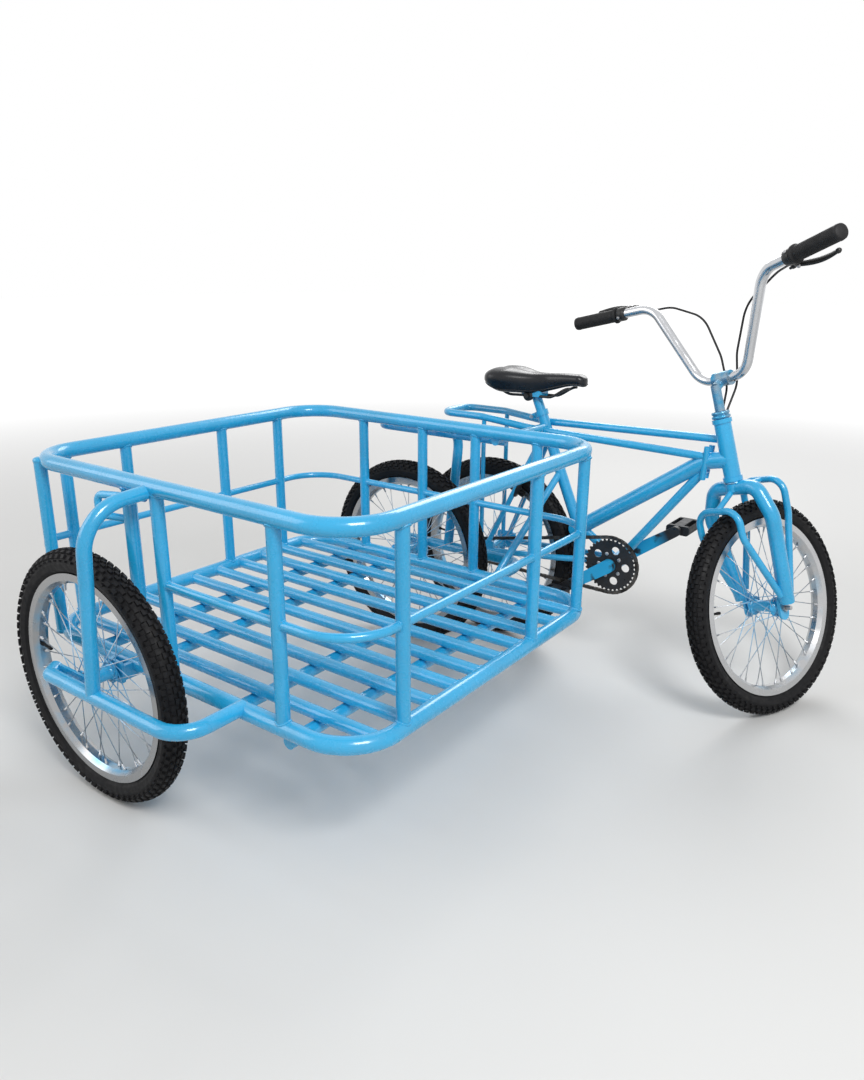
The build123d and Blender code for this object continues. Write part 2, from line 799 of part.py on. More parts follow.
def round_place(centre, radius, angle):
    """Point on a circle in the chain's plane."""
    return (centre[0] + radius * math.cos(angle), centre[1] + radius * math.sin(angle))


def pin_place(count):
    """Place of a chain pin, counted in links from the chainring's upper edge, back and round."""
    for stretch, start, end in ((straight_links, "ring", "sprocket"), (straight_links, "sprocket", "ring")):
        angle = upper_angle if start == "ring" else lower_angle
        if count < stretch:
            share = count / stretch
            first = round_place(*wheels_in_chain[start], angle)
            last = round_place(*wheels_in_chain[end], angle)
            return (first[0] + share * (last[0] - first[0]), first[1] + share * (last[1] - first[1]))
        count -= stretch
        teeth = sprocket_teeth if end == "sprocket" else ring_teeth
        arc = sprocket_links if end == "sprocket" else chain_links
        if count < arc:
            return round_place(*wheels_in_chain[end], angle + count * 2 * math.pi / teeth)
        count -= arc


pin_places = [pin_place(number) for number in range(chain_links)]


def plates_between(first):
    """Adds the outlines of every second link's plate to a sketch, from one pin to the next."""
    for number in range(first, chain_links, 2):
        start = pin_places[number]
        end = pin_places[(number + 1) % chain_links]
        middle = ((start[0] + end[0]) / 2, (start[1] + end[1]) / 2)
        slant = math.degrees(math.atan2(end[1] - start[1], end[0] - start[0]))
        end_half = chain_pitch / 2 + chain_plate_height / 2
        flat_half = chain_pitch / 2 + chain_plate_height / 5
        edge = chain_plate_height / 2
        with Locations(Location((middle[0], middle[1], 0), (0, 0, slant))):
            Polygon(
                (-end_half, -edge / 2),
                (-flat_half, -edge),
                (flat_half, -edge),
                (end_half, -edge / 2),
                (end_half, edge / 2),
                (flat_half, edge),
                (-flat_half, edge),
                (-end_half, edge / 2),
            )


with BuildPart() as chain:
    with BuildSketch(Plane.XZ.offset(chain_line)) as outer_plates:
        plates_between(0)
    with BuildSketch(Plane.XZ.offset(chain_line)) as inner_plates:
        plates_between(1)
    with BuildSketch(Plane.XZ.offset(chain_line)) as rollers:
        with Locations(*pin_places):
            RegularPolygon(roller_diameter / 2, 6)
    plate_gap = chain_inner_width / 2
    plate_seam = chain_width / 2 - chain_plate_thickness - 0.1
    for side in (-1, 1):
        inner_start = Location((0, side * plate_gap, 0))
        extrude(inner_plates.sketch.moved(inner_start), amount=-side * (chain_width / 2 - chain_plate_thickness - plate_gap))
        outer_start = Location((0, side * plate_seam, 0))
        extrude(outer_plates.sketch.moved(outer_start), amount=-side * (chain_width / 2 - plate_seam))
    extrude(rollers.sketch, amount=plate_gap + 0.1, both=True)
keep("chain", chain.part)

# Chainring, cranks and spindle turn together
crank_angle = math.radians(crank_rest_angle)
arm_inner = chain_line + chain_width / 2 + 7
arm_outer = arm_inner + crank_thickness
crank_foot = {}
for side in (-1, 1):
    reach = -side * crank_length
    crank_foot[side] = (
        bracket_x + reach * math.cos(crank_angle),
        bracket_z + reach * math.sin(crank_angle),
    )
with BuildPart() as crankset:
    with BuildSketch(Plane.XZ.offset(-arm_outer)):
        with Locations((bracket_x, bracket_z)):
            Circle(spindle_diameter / 2)
    extrude(amount=2 * arm_outer)
    with BuildSketch(Plane((bracket_x, -chain_line, bracket_z), x_dir=(1, 0, 0), z_dir=(0, -1, 0))):
        toothed_outline(ring_teeth, upper_angle)
        with PolarLocations(spider_hole_radius, spider_holes):
            Circle(spider_hole_diameter / 2, mode=Mode.SUBTRACT)
    extrude(amount=toothed_wheel_thickness / 2, both=True)
    with BuildSketch(Plane.XZ.offset(chain_line)):
        with Locations((bracket_x, bracket_z)):
            Circle(crank_boss_diameter / 2)
    extrude(amount=arm_inner - chain_line)
    for side in (-1, 1):
        with BuildSketch(Plane.XZ.offset(-side * arm_inner)) as arm:
            with Locations((bracket_x, bracket_z)):
                Circle(crank_boss_diameter / 2)
            with Locations(crank_foot[side]):
                Circle(crank_eye_diameter / 2)
            make_hull()
        extrude(amount=-side * crank_thickness)
        with BuildSketch(Plane.XZ.offset(-side * arm_outer)):
            with Locations(crank_foot[side]):
                Circle(pedal_axle_diameter / 2)
        extrude(amount=-side * (pedal_gap + pedal_width))
keep("crankset", crankset.part)

# Pedals turn on the axles at the cranks' ends
for side, name in ((-1, "right_pedal"), (1, "left_pedal")):
    with BuildPart() as pedal:
        with BuildSketch(Plane.XZ.offset(-side * (arm_outer + pedal_gap))):
            with Locations(crank_foot[side]):
                RectangleRounded(pedal_depth, pedal_thickness, 8)
                Circle(pedal_axle_diameter / 2 + running_clearance, mode=Mode.SUBTRACT)
        extrude(amount=-side * pedal_width)
        pedal_mid = (crank_foot[side][0], side * (arm_outer + pedal_gap + pedal_width / 2), crank_foot[side][1])
        with BuildSketch(Plane(pedal_mid)):
            with GridLocations(pedal_slot_spacing, 0, 2, 1):
                Rectangle(pedal_slot_depth, pedal_width - 2 * pedal_end_plate)
        extrude(amount=pedal_thickness, both=True, mode=Mode.SUBTRACT)
    keep(name, pedal.part)

# Fork with its steerer, drawn straight ahead
cup_face = -headset_height - end_clearance
steerer_top = head_tube_length + headset_height + end_clearance + nut_height
with BuildPart() as fork:
    with BuildSketch(tube_core.offset(cup_face)):
        Circle(fork_crown_diameter / 2)
    extrude(amount=-fork_crown_drop)
    with BuildSketch(tube_core.offset(cup_face - 1)):
        Circle(steerer_diameter / 2)
    extrude(amount=steerer_top - cup_face + 1)
    with BuildSketch(tube_core.offset(steerer_top - nut_height)):
        RegularPolygon(headset_diameter / 2 - 4, 8)
    extrude(amount=nut_height)
    crown_line = cup_face - fork_crown_drop / 2 - 5
    tube(
        [
            steer_point(-fork_leg_spread, -fork_length + 14, fork_offset),
            steer_point(-fork_shoulder_spread, crown_line - 70, 2),
            steer_point(-fork_shoulder_spread + 28, crown_line, 0),
            steer_point(fork_shoulder_spread - 28, crown_line, 0),
            steer_point(fork_shoulder_spread, crown_line - 70, 2),
            steer_point(fork_leg_spread, -fork_length + 14, fork_offset),
        ],
        fork_leg_diameter,
        [70, 32, 32, 70],
    )
    for side in (-1, 1):
        inner_side = side * front_hub_width / 2
        tip = Plane(origin=steer_point(inner_side, -fork_length, fork_offset), x_dir=steer_ahead, z_dir=(0, side, 0))
        with BuildSketch(tip):
            SlotOverall(60, 30, rotation=90)
        extrude(amount=axle_plate_thickness)
    with BuildSketch(Plane(origin=steer_point(-200, -fork_length, fork_offset), x_dir=steer_ahead, z_dir=(0, 1, 0))):
        Circle(axle_diameter / 2)
    extrude(amount=400, mode=Mode.SUBTRACT)
keep("fork", fork.part, True)

# Thin hoops before and behind the fork, over the tyre
with BuildPart() as hoops:
    for top, level, ahead in ((-66, -130, -72), (-30, -110, 95)):
        foot_ahead = fork_offset + math.copysign(fork_leg_diameter / 2, ahead)
        tube(
            [
                steer_point(-fork_leg_spread, -fork_length + 34, foot_ahead),
                steer_point(-57, level, ahead),
                steer_point(-57, top, ahead),
                steer_point(57, top, ahead),
                steer_point(57, level, ahead),
                steer_point(fork_leg_spread, -fork_length + 34, foot_ahead),
            ],
            hoop_diameter,
            [60, 35, 35, 60],
        )
        tube([steer_point(0, top, ahead), steer_point(0, crown_line, 0)], hoop_diameter - 3)
    add(fork.part, mode=Mode.SUBTRACT)
keep("fork_hoops", hoops.part, True)

front_axle = axle_solid(front_hub_width / 2 + axle_plate_thickness + nut_height + 12, front_hub_width / 2 + axle_plate_thickness)
keep("front_axle", stand(front_axle, front_hub), True)

# Handlebar with a high rise, its stem and grips
bar_along = head_tube_length + stem_rise
bar_end = {}
bar_shoulder = {}
for side in (-1, 1):
    bar_shoulder[side] = steer_point(side * bar_shoulder_half, bar_along + bar_rise, stem_reach - 10)
    bar_end[side] = steer_point(side * bar_end_half, bar_along + bar_end_rise, stem_reach - bar_end_back)
bar_route = [
    bar_end[-1],
    bar_shoulder[-1],
    steer_point(-bar_flat_half, bar_along, stem_reach),
    steer_point(bar_flat_half, bar_along, stem_reach),
    bar_shoulder[1],
    bar_end[1],
]
with BuildPart() as handlebar:
    tube(bar_route, bar_diameter, [bar_bend_radius] * 4)
keep("handlebar", handlebar.part, True)

with BuildPart() as stem:
    tube([steer_point(0, steerer_top), steer_point(0, bar_along - 10)], stem_diameter)
    tube([steer_point(0, bar_along - 16), steer_point(0, bar_along, stem_reach)], stem_diameter)
    tube([steer_point(-22, bar_along, stem_reach), steer_point(22, bar_along, stem_reach)], bar_diameter + 12)
    add(handlebar.part, mode=Mode.SUBTRACT)
keep("stem", stem.part, True)

with BuildPart() as grips:
    for side in (-1, 1):
        inward = (bar_shoulder[side] - bar_end[side]).normalized()
        tube([bar_end[side] - inward * 4, bar_end[side] + inward * grip_length], grip_diameter)
    add(handlebar.part, mode=Mode.SUBTRACT)
keep("grips", grips.part, True)

with BuildPart() as levers:
    for side in (-1, 1):
        inward = (bar_shoulder[side] - bar_end[side]).normalized()
        clamp = bar_end[side] + inward * (grip_length + 3)
        pivot = clamp + inward * 8 + steer_ahead * 26 - steer_up * 6
        tube([clamp, clamp + inward * 16], bar_diameter + 10)
        tube([clamp + inward * 8, pivot], 14)
        tube([pivot, pivot - inward * 105 + steer_ahead * 22 - steer_up * 4], 9)
    add(handlebar.part, mode=Mode.SUBTRACT)
keep("brake_levers", levers.part, True)

with BuildPart() as cables:
    for side in (-1, 1):
        inward = (bar_shoulder[side] - bar_end[side]).normalized()
        start = bar_end[side] + inward * (grip_length + 12) + steer_ahead * 29 - steer_up * 6
        tube(
            [
                start,
                steer_point(side * 150, bar_along + 196, stem_reach + 46),
                steer_point(side * 60, bar_along + 150, stem_reach + 46),
                steer_point(side * 22, bar_along + 50, stem_reach + 34),
                steer_point(side * 14, bar_along - 20, stem_reach + 26),
                steer_point(side * 6, bar_along - 75, stem_diameter / 2 + 1.5),
            ],
            5,
            [60, 80, 80, 60],
        )
    add(levers.part, mode=Mode.SUBTRACT)
    add(stem.part, mode=Mode.SUBTRACT)
keep("brake_cables", cables.part, True)

# Rear brake over the tyre, on a bridge between the seat stays
brake_angle = math.radians(64)
outward = Vector(math.cos(brake_angle), 0, math.sin(brake_angle))
onward = Vector(math.sin(brake_angle), 0, -math.cos(brake_angle))
brake_centre = Vector(rear_hub_x, 0, wheel_z) + outward * ring_radius
with BuildPart() as rear_brake:
    with BuildSketch(Plane(origin=brake_centre, x_dir=(0, 1, 0), z_dir=onward)) as caliper:
        Circle(tyre_width / 2 + 20)
        with Locations((0, -tyre_width)):
            Rectangle(3 * tyre_width, 2 * tyre_width, mode=Mode.SUBTRACT)
        Circle(tyre_width / 2 + 8, mode=Mode.SUBTRACT)
        with Locations((-tyre_width / 2 - 14, -18), (tyre_width / 2 + 14, -18)):
            Rectangle(12, 38)
    extrude(amount=10)
    for side in (-1, 1):
        pad = brake_centre - outward * 30 + Vector(0, side * (rim_width / 2 + 5), 0)
        with BuildSketch(Plane(origin=pad, x_dir=onward, z_dir=(0, side, 0))):
            RectangleRounded(44, 9, 3)
        extrude(amount=8)
        tube([pad + onward * 5, pad + onward * 5 + Vector(0, side * 20, 0)], 8)
    bridge = Vector(brake_bridge_x, 0, brake_bridge_z)
    tube([bridge, bridge + onward * 18], 8)
    add(rear_triangle.part, mode=Mode.SUBTRACT)
keep("rear_brake", rear_brake.part)

# Whole object: move the origin to the middle of the footprint and write each piece
whole = Compound(list(pieces.values()))
box = whole.bounding_box()
home = Location((-box.center().X, -box.center().Y, 0))
print("footprint centre", round(box.center().X, 3), round(box.center().Y, 3), "lowest", round(box.min.Z, 3))
print("size", [round(v, 1) for v in box.size], "crank at", round(bracket_x, 3), "fork", round(fork_length, 3))
for name, part in pieces.items():
    print(name, len(part.solids()), round(part.volume))
    part = part.moved(home)
    part.label = name
    export_step(part, f"parts/{name}.step")
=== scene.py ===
"""Looks of a cargo sidecar bicycle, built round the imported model, in metres and in its frame."""

import json
import math

import bmesh
import bpy
import numpy as np
from bpy.props import FloatProperty, FloatVectorProperty, IntProperty, PointerProperty
from mathutils import Matrix, Vector


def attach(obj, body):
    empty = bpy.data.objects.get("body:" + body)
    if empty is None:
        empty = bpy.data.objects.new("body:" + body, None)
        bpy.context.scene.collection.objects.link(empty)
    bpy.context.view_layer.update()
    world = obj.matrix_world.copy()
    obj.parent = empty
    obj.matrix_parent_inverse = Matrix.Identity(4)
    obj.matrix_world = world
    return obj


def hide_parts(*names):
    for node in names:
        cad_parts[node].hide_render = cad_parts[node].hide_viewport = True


bl_info = {
    "name": "Cargo Sidecar Bicycle",
    "version": (1, 0, 0),
    "blender": (4, 5, 0),
    "location": "View3D > Sidebar > Cargo Bicycle",
    "description": "Paint, tyres, wire wheels, saddle and small parts of a cargo sidecar bicycle",
    "category": "Object",
}

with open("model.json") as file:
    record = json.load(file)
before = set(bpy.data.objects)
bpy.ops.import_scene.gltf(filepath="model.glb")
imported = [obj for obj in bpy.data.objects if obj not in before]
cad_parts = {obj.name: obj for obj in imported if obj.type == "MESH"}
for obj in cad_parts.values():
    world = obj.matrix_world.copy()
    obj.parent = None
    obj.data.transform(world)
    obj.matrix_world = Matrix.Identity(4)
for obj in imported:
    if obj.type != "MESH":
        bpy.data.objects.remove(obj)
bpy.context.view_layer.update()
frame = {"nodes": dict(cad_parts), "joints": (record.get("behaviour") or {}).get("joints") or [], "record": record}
nodes = frame["nodes"]
joints = {row["name"]: row for row in frame["joints"]}


def joint_place(name):
    """Point that a joint turns about, as parked."""
    return np.array(joints[name]["pos_m"], float)


# The drawing's origin lies on the ground, where the cart's axle line meets the bicycle's plane
cart_x, bicycle_y = joint_place("left_wheel_spin")[0], joint_place("rear_wheel_spin")[1]
drawing_origin = np.array([cart_x, bicycle_y, 0.0])

# Cage: centre lines in the drawing, and tube sizes
cage_front_x = 0.590
cage_rear_x = -0.285
cage_left_y = -0.250
cage_right_y = -1.070
top_rail_z = 0.632
middle_rail_z = 0.452
floor_z = 0.262
rail_radius = 0.016
post_radius = 0.0125
middle_rail_radius = 0.008
right_post_x = (-0.240, 0.053, 0.136, 0.430)
left_post_x = (-0.096, 0.101, 0.262, 0.433)
front_post_y = (-0.948, -0.523, -0.323)
rear_post_y = (-0.992, -0.845, -0.572, -0.384)
slat_count = 10
slat_margin = 0.070
rail_bead = 0.0022
middle_bead = 0.0016
# Dome that closes the corner post, where the rail bends away: place along the post, radius
post_cap = (
    (-0.005, 0), (-0.005, 0.0122), (-0.003, 0.0134), (0, 0.0136), (0.0025, 0.0128), (0.0048, 0.01),
    (0.0062, 0.006), (0.0066, 0),
)

# Wheels
tyre_ring_radius = 0.228
tyre_outer_half = 0.0268
rim_lip_radius = 0.2095
rim_seat_radius = 0.2053
rim_inner_radius = 0.188
bead_half = 0.0140
barrel_radius = 0.015
flange_radius = 0.023
flange_half = 0.0016
spokes_of_a_kind = 9
spoke_lead = 60.0
spoke_hole_radius = flange_radius - 0.004
# How far a spoke's hook stands out from the flange's middle on each side
hook_half = 0.0035
valve_angle = 0.09
# Length of each wheel's hub, and the distance between its flanges
hub_sizes = {
    "left": (0.0694, 0.056),
    "right": (0.0694, 0.056),
    "rear": (0.1094, 0.058),
    "front": (0.0894, 0.060),
}
# Low ribs on the tyre's side: where each starts and ends as an angle round the carcass, and height
side_ribs = ((1.45, 1.62, 0.0006), (1.95, 2.10, 0.0007))
rib_ramp = 0.05
# Rows of tread blocks on each side: middle and half width as angles round the carcass, then length
# and start as shares of the pitch
block_rows = (
    (0.15, 0.125, 0.62, 0.0),
    (0.50, 0.145, 0.60, 0.5),
    (0.90, 0.190, 0.56, 0.0),
    (1.25, 0.080, 0.34, 0.5),
)
# How far a tread block's foot lies under the carcass
block_sunk = 0.0004
# Spoke nipple: distance in from the rim, radius
nipple_profile = ((0, 0.003), (0.004, 0.003), (0.0045, 0.0021), (0.013, 0.0019), (0.0132, 0.0011))
# Tyre valve: distance in from the rim, radius
valve_profile = (
    (0, 0), (0, 0.0042), (0.004, 0.0042), (0.0045, 0.003), (0.022, 0.0028), (0.0225, 0.0036),
    (0.031, 0.0036), (0.033, 0.0028), (0.033, 0),
)
# Front rim, and the three others: brightness of the metal, and most paint mist on its inner side
front_rim_look = (0.56, 0.25)
other_rim_look = (0.42, 0.6)
# Slots of plain metal: material, its two tones, roughness, share of metal
metal_looks = {
    "zinc_steel": ("plated_steel", (0.34, 0.34, 0.35), (0.55, 0.55, 0.56), 0.34, 0.95),
    "chain_steel": ("oily_chain", (0.035, 0.030, 0.026), (0.12, 0.11, 0.10), 0.38, 0.8),
    "black_metal": ("worn_black", (0.010, 0.010, 0.011), (0.026, 0.026, 0.028), 0.36, 0.3),
}
# Slots of rubber and plastic: material, colour, roughness, scale and depth of the grain
moulded_looks = {
    "cable_black": ("cable_jacket", (0.012, 0.012, 0.013), 0.42, 500, 0.0002),
    "pedal_black": ("pedal_plastic", (0.014, 0.016, 0.020), 0.5, 380, 0.0005),
    "grip_black": ("grip_rubber", (0.012, 0.012, 0.013), 0.6, 700, 0.0005),
}

# Steering, from the head tube's lower end: beside, along and ahead of the steering axis
head_angle = math.radians(73)
rest_turn = math.radians(69)
bar_along = 0.222
bar_shoulder = (0.158, 0.425, 0.020)
bar_end = (0.368, 0.441, -0.030)
bar_radius = 0.0111
stem_reach = 0.030
grip_length = 0.120
grip_radius = 0.0165
grip_rib_pitch = 0.0042
grip_rib_depth = 0.0012
lever_blade = 0.100
# How far the brake levers are turned about the bar: up on the left, down on the right
left_lever_turn = math.radians(22)
right_lever_turn = math.radians(-34)
# Turned parts of a brake lever: place along the axis, radius
lever_band = (
    (0, bar_radius), (0, 0.0155), (0.0015, 0.0168), (0.0165, 0.0168), (0.018, 0.0155),
    (0.018, bar_radius),
)
lever_tip = (
    (-0.0056, 0), (-0.005, 0.0034), (-0.0015, 0.0056), (0.002, 0.0056), (0.005, 0.0036),
    (0.0056, 0),
)
lever_barrel = (
    (0, 0), (0, 0.0058), (0.004, 0.0058), (0.0045, 0.0042), (0.010, 0.0042), (0.0105, 0.0054),
    (0.015, 0.0054), (0.0155, 0.0036), (0.024, 0.0032), (0.0245, 0),
)
lever_pin = (
    (-0.0088, 0), (-0.0088, 0.0026), (-0.0078, 0.0038), (0.0078, 0.0038), (0.0088, 0.0026),
    (0.0088, 0),
)
lever_bolt = ((0, 0), (0, 0.0036), (0.007, 0.0036), (0.0076, 0.003), (0.0076, 0))
# Nuts above the head tube and the crown race below it: place along the steering axis, radius
headset_along = 0.1366
headset_stack = (
    (0, 0.0139), (0, 0.0196), (0.0008, 0.0208), (0.0052, 0.0208), (0.0062, 0.019), (0.0068, 0.0178),
    (0.0082, 0.0178), (0.0088, 0.019), (0.0096, 0.02), (0.0142, 0.02), (0.0154, 0.0186),
    (0.0154, 0.0139),
)
race_along = -0.0118
crown_race = (
    (0, 0.0135), (0, 0.0204), (0.0008, 0.0214), (0.0032, 0.0214), (0.004, 0.0204), (0.004, 0.0135),
)

# Saddle
saddle_rear_x = 0.144
saddle_length = 0.281
saddle_top_z = 0.760
saddle_round_back = 0.16
saddle_round_nose = 0.07
skirt_depth = 0.054
skirt_hang = 0.012
# Edges of the saddle's skirt, as shares of the way round its cross section
hem_shares = (0.93, 0.57)
clamp_place = (0.272, 0, 0.692)
piping_radius = 0.0016
rail_wire_radius = 0.0035

# Seat tube's ends, and the chain's distance from the bicycle's plane
seat_top = (0.305, 0.0, 0.640)
seat_foot = (0.425, 0.0, 0.362)
chain_line = 0.045
chainring_bolt_circle = 0.030
chainring_bolt = ((0, 0), (0, 0.0048), (0.0016, 0.0048), (0.0022, 0.004), (0.0022, 0))

# Lamps: name, place, width, share of the main lamp's power
lamps = (
    ("key", (2.2, -1.5, 2.9), 1.2, 1.0),
    ("fill", (-2.6, -2.6, 2.2), 2.4, 0.45),
    ("back", (-0.6, 2.8, 2.6), 1.8, 0.6),
)
floor_half = 30.0
# Distances from the middle at which the floor starts to fade to white, and has faded
floor_fade = (1.6, 5.5)
# Camera: place, direction and lens, solved from the photograph's wheels and cage
camera_place = (0.9977, -1.4469, 0.9928)
camera_azimuth = math.radians(126.42)
camera_pitch = math.radians(-17.71)
camera_roll = math.radians(0.36)
focal_px = 836.0
image_height_px = 1080.0


def placed(point):
    """Point of the drawing in the model's frame."""
    return np.asarray(point, float) + drawing_origin


# Shapes worked out as arrays
def unit(vector):
    """Vector, or rows of vectors, at length one."""
    vector = np.asarray(vector, float)
    return vector / np.linalg.norm(vector, axis=-1, keepdims=True)


def across(axis):
    """Two directions square to an axis and to each other."""
    axis = unit(axis)
    helper = np.array([0.0, 0.0, 1.0]) if abs(axis[2]) < 0.9 else np.array([1.0, 0.0, 0.0])
    first = unit(np.cross(helper, axis))
    return first, np.cross(axis, first)


def smooth_step(low, high, value):
    """Rises from 0 to 1 between two values, level at both ends: 3t squared less 2t cubed."""
    share = np.clip((value - low) / (high - low), 0, 1)
    return share * share * (3 - 2 * share)


def many_grids(points, close_rows=False, close_columns=False, material=0, smooth=True):
    """Surfaces of one kind from points (copies, rows, columns, 3): the points in a list, four-sided
    faces between them, material number and shading."""
    copies, rows, columns = points.shape[:3]
    row = np.arange(rows if close_rows else rows - 1)
    column = np.arange(columns if close_columns else columns - 1)
    row, column = np.meshgrid(row, column, indexing="ij")
    this_row = row * columns
    next_row = (row + 1) % rows * columns
    next_column = (column + 1) % columns
    corners = [this_row + column, next_row + column, next_row + next_column, this_row + next_column]
    faces = np.stack(corners, axis=-1).reshape(-1, 4)
    shift = (np.arange(copies) * rows * columns)[:, None, None]
    return points.reshape(-1, 3), (faces[None] + shift).reshape(-1, 4), material, smooth


def grid_part(points, close_rows=False, close_columns=True, material=0, smooth=True):
    """One surface from points (rows, columns, 3)."""
    return many_grids(points[None], close_rows, close_columns, material, smooth)


def lathe(profile, centre, axis, sides=32, material=0, smooth=True):
    """Turned shape: rows of (place along the axis, radius) carried round the axis."""
    profile = np.asarray(profile, float)
    first, second = across(axis)
    angle = np.linspace(0, 2 * math.pi, sides, endpoint=False)
    ring = np.cos(angle)[:, None] * first + np.sin(angle)[:, None] * second
    along = profile[:, 0, None, None] * unit(axis)
    points = np.asarray(centre, float) + along + profile[:, 1, None, None] * ring[None]
    return grid_part(points, material=material, smooth=smooth)


def tubes(paths, radii, hints, sides=8, closed=False, material=0):
    """Round tubes along many paths (copies, points, 3). A ring square to each path's direction is
    carried along it, turned to a hint direction, at radii (copies, points)."""
    if closed:
        direction = np.roll(paths, -1, axis=1) - np.roll(paths, 1, axis=1)
    else:
        direction = np.gradient(paths, axis=1)
    direction = unit(direction)
    hints = np.broadcast_to(hints, paths.shape)
    normal = unit(hints - (hints * direction).sum(-1, keepdims=True) * direction)
    binormal = np.cross(direction, normal)
    angle = np.linspace(0, 2 * math.pi, sides, endpoint=False)[:, None]
    turn = np.cos(angle) * normal[:, :, None] + np.sin(angle) * binormal[:, :, None]
    points = paths[:, :, None] + radii[:, :, None, None] * turn
    if not closed:
        caps = np.broadcast_to(paths[:, :, None], points.shape)
        points = np.concatenate([caps[:, :1], points, caps[:, -1:]], axis=1)
    return many_grids(points, close_rows=closed, close_columns=True, material=material)


def add_object(name, data):
    """New object in the scene, at the origin."""
    item = bpy.data.objects.new(name, data)
    bpy.context.scene.collection.objects.link(item)
    return item


def build(name, parts, materials, body, replaced=()):
    """Joins the parts into one closed mesh object that rides on a body. Materials go by name: one
    that is made here, or black_metal, which is the pack's own plain one."""
    counts = np.cumsum([0] + [len(part[0]) for part in parts])
    points = np.concatenate([part[0] for part in parts])
    faces = np.concatenate([part[1] + start for part, start in zip(parts, counts)])
    mesh = bpy.data.meshes.new(name)
    mesh.from_pydata(points.tolist(), [], faces.tolist())
    for column, field in ((2, "material_index"), (3, "use_smooth")):
        values = np.concatenate([np.full(len(part[1]), part[column]) for part in parts])
        mesh.polygons.foreach_set(field, values)
    for material in materials:
        mesh.materials.append(bpy.data.materials[material])
    work = bmesh.new()
    work.from_mesh(mesh)
    bmesh.ops.remove_doubles(work, verts=work.verts, dist=1e-6)
    bmesh.ops.recalc_face_normals(work, faces=work.faces)
    work.to_mesh(mesh)
    work.free()
    piece = add_object(name, mesh)
    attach(piece, body)
    if replaced:
        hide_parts(*replaced)
    return piece


# Materials, each from noise in the piece's own coordinates
def feed(tree, node, inputs):
    """Gives a node's inputs plain values or other nodes' outputs."""
    for name, value in inputs.items():
        if isinstance(value, bpy.types.NodeSocket):
            tree.links.new(value, node.inputs[name])
        else:
            node.inputs[name].default_value = value


def add_node(tree, kind, inputs, output, **options):
    """Adds a shader node with its options and inputs, and returns one of its outputs."""
    node = tree.nodes.new(f"ShaderNode{kind}")
    for name, value in options.items():
        setattr(node, name, value)
    feed(tree, node, inputs)
    return node.outputs[output]


class Finish:
    """A Principled material with short calls for its noise, masks and mixes."""

    def __init__(self, name, colour, roughness, metallic=0.0):
        self.material = bpy.data.materials.new(name)
        self.material.use_nodes = True
        self.tree = self.material.node_tree
        self.shade({"Base Color": (*colour, 1), "Roughness": roughness, "Metallic": metallic})
        self.place = add_node(self.tree, "TexCoord", {}, "Object")

    def shade(self, inputs):
        """Sets or links inputs of the shader."""
        feed(self.tree, self.tree.nodes["Principled BSDF"], inputs)

    def noise(self, scale, detail=3.0, stretch=(1, 1, 1)):
        """Soft noise from 0 to 1 over the piece."""
        place = add_node(self.tree, "Mapping", {"Vector": self.place, "Scale": stretch}, "Vector")
        inputs = {"Vector": place, "Scale": scale, "Detail": detail}
        return add_node(self.tree, "TexNoise", inputs, "Fac")

    def cells(self, scale):
        """Small cells, as in leather: distance from each cell's middle."""
        return add_node(self.tree, "TexVoronoi", {"Vector": self.place, "Scale": scale}, "Distance")

    def spread(self, value, low, high, to_low=0.0, to_high=1.0):
        """Value carried from one range, low to high, to another, and held at its ends."""
        ranges = {"From Min": low, "From Max": high, "To Min": to_low, "To Max": to_high}
        return add_node(self.tree, "MapRange", {"Value": value, **ranges}, "Result")

    def times(self, first, second):
        """Product of two masks."""
        return add_node(self.tree, "Math", {0: first, 1: second}, 0, operation="MULTIPLY")

    def coordinate(self, axis):
        """Place along the X, Y or Z axis."""
        return add_node(self.tree, "SeparateXYZ", {0: self.place}, axis)

    def distance_along(self, axis, middle):
        """Distance from a plane square to an axis."""
        offset = {0: self.coordinate(axis), 1: middle}
        offset = add_node(self.tree, "Math", offset, 0, operation="SUBTRACT")
        return add_node(self.tree, "Math", {0: offset}, 0, operation="ABSOLUTE")

    def distance(self, centre):
        """Distance from a point."""
        places = {0: self.place, 1: centre}
        return add_node(self.tree, "VectorMath", places, "Value", operation="DISTANCE")

    def mix(self, mask, first, second):
        """First colour where the mask is 0, second where it is 1. Each is a colour or a node's."""
        inputs = {"Factor": mask}
        for name, value in (("A", first), ("B", second)):
            inputs[name] = value if isinstance(value, bpy.types.NodeSocket) else (*value, 1)
        return add_node(self.tree, "Mix", inputs, "Result", data_type="RGBA")

    def colour(self, source):
        self.shade({"Base Color": source})

    def roughness(self, scale, detail, low, high, start=0.3):
        """Roughness that wanders between two values with a noise."""
        self.shade({"Roughness": self.spread(self.noise(scale, detail), start, 0.7, low, high)})

    def metallic(self, source):
        self.shade({"Metallic": source})

    def bump(self, source, strength, distance):
        """Fine relief from a height."""
        inputs = {"Height": source, "Strength": strength, "Distance": distance}
        self.shade({"Normal": add_node(self.tree, "Bump", inputs, "Normal")})


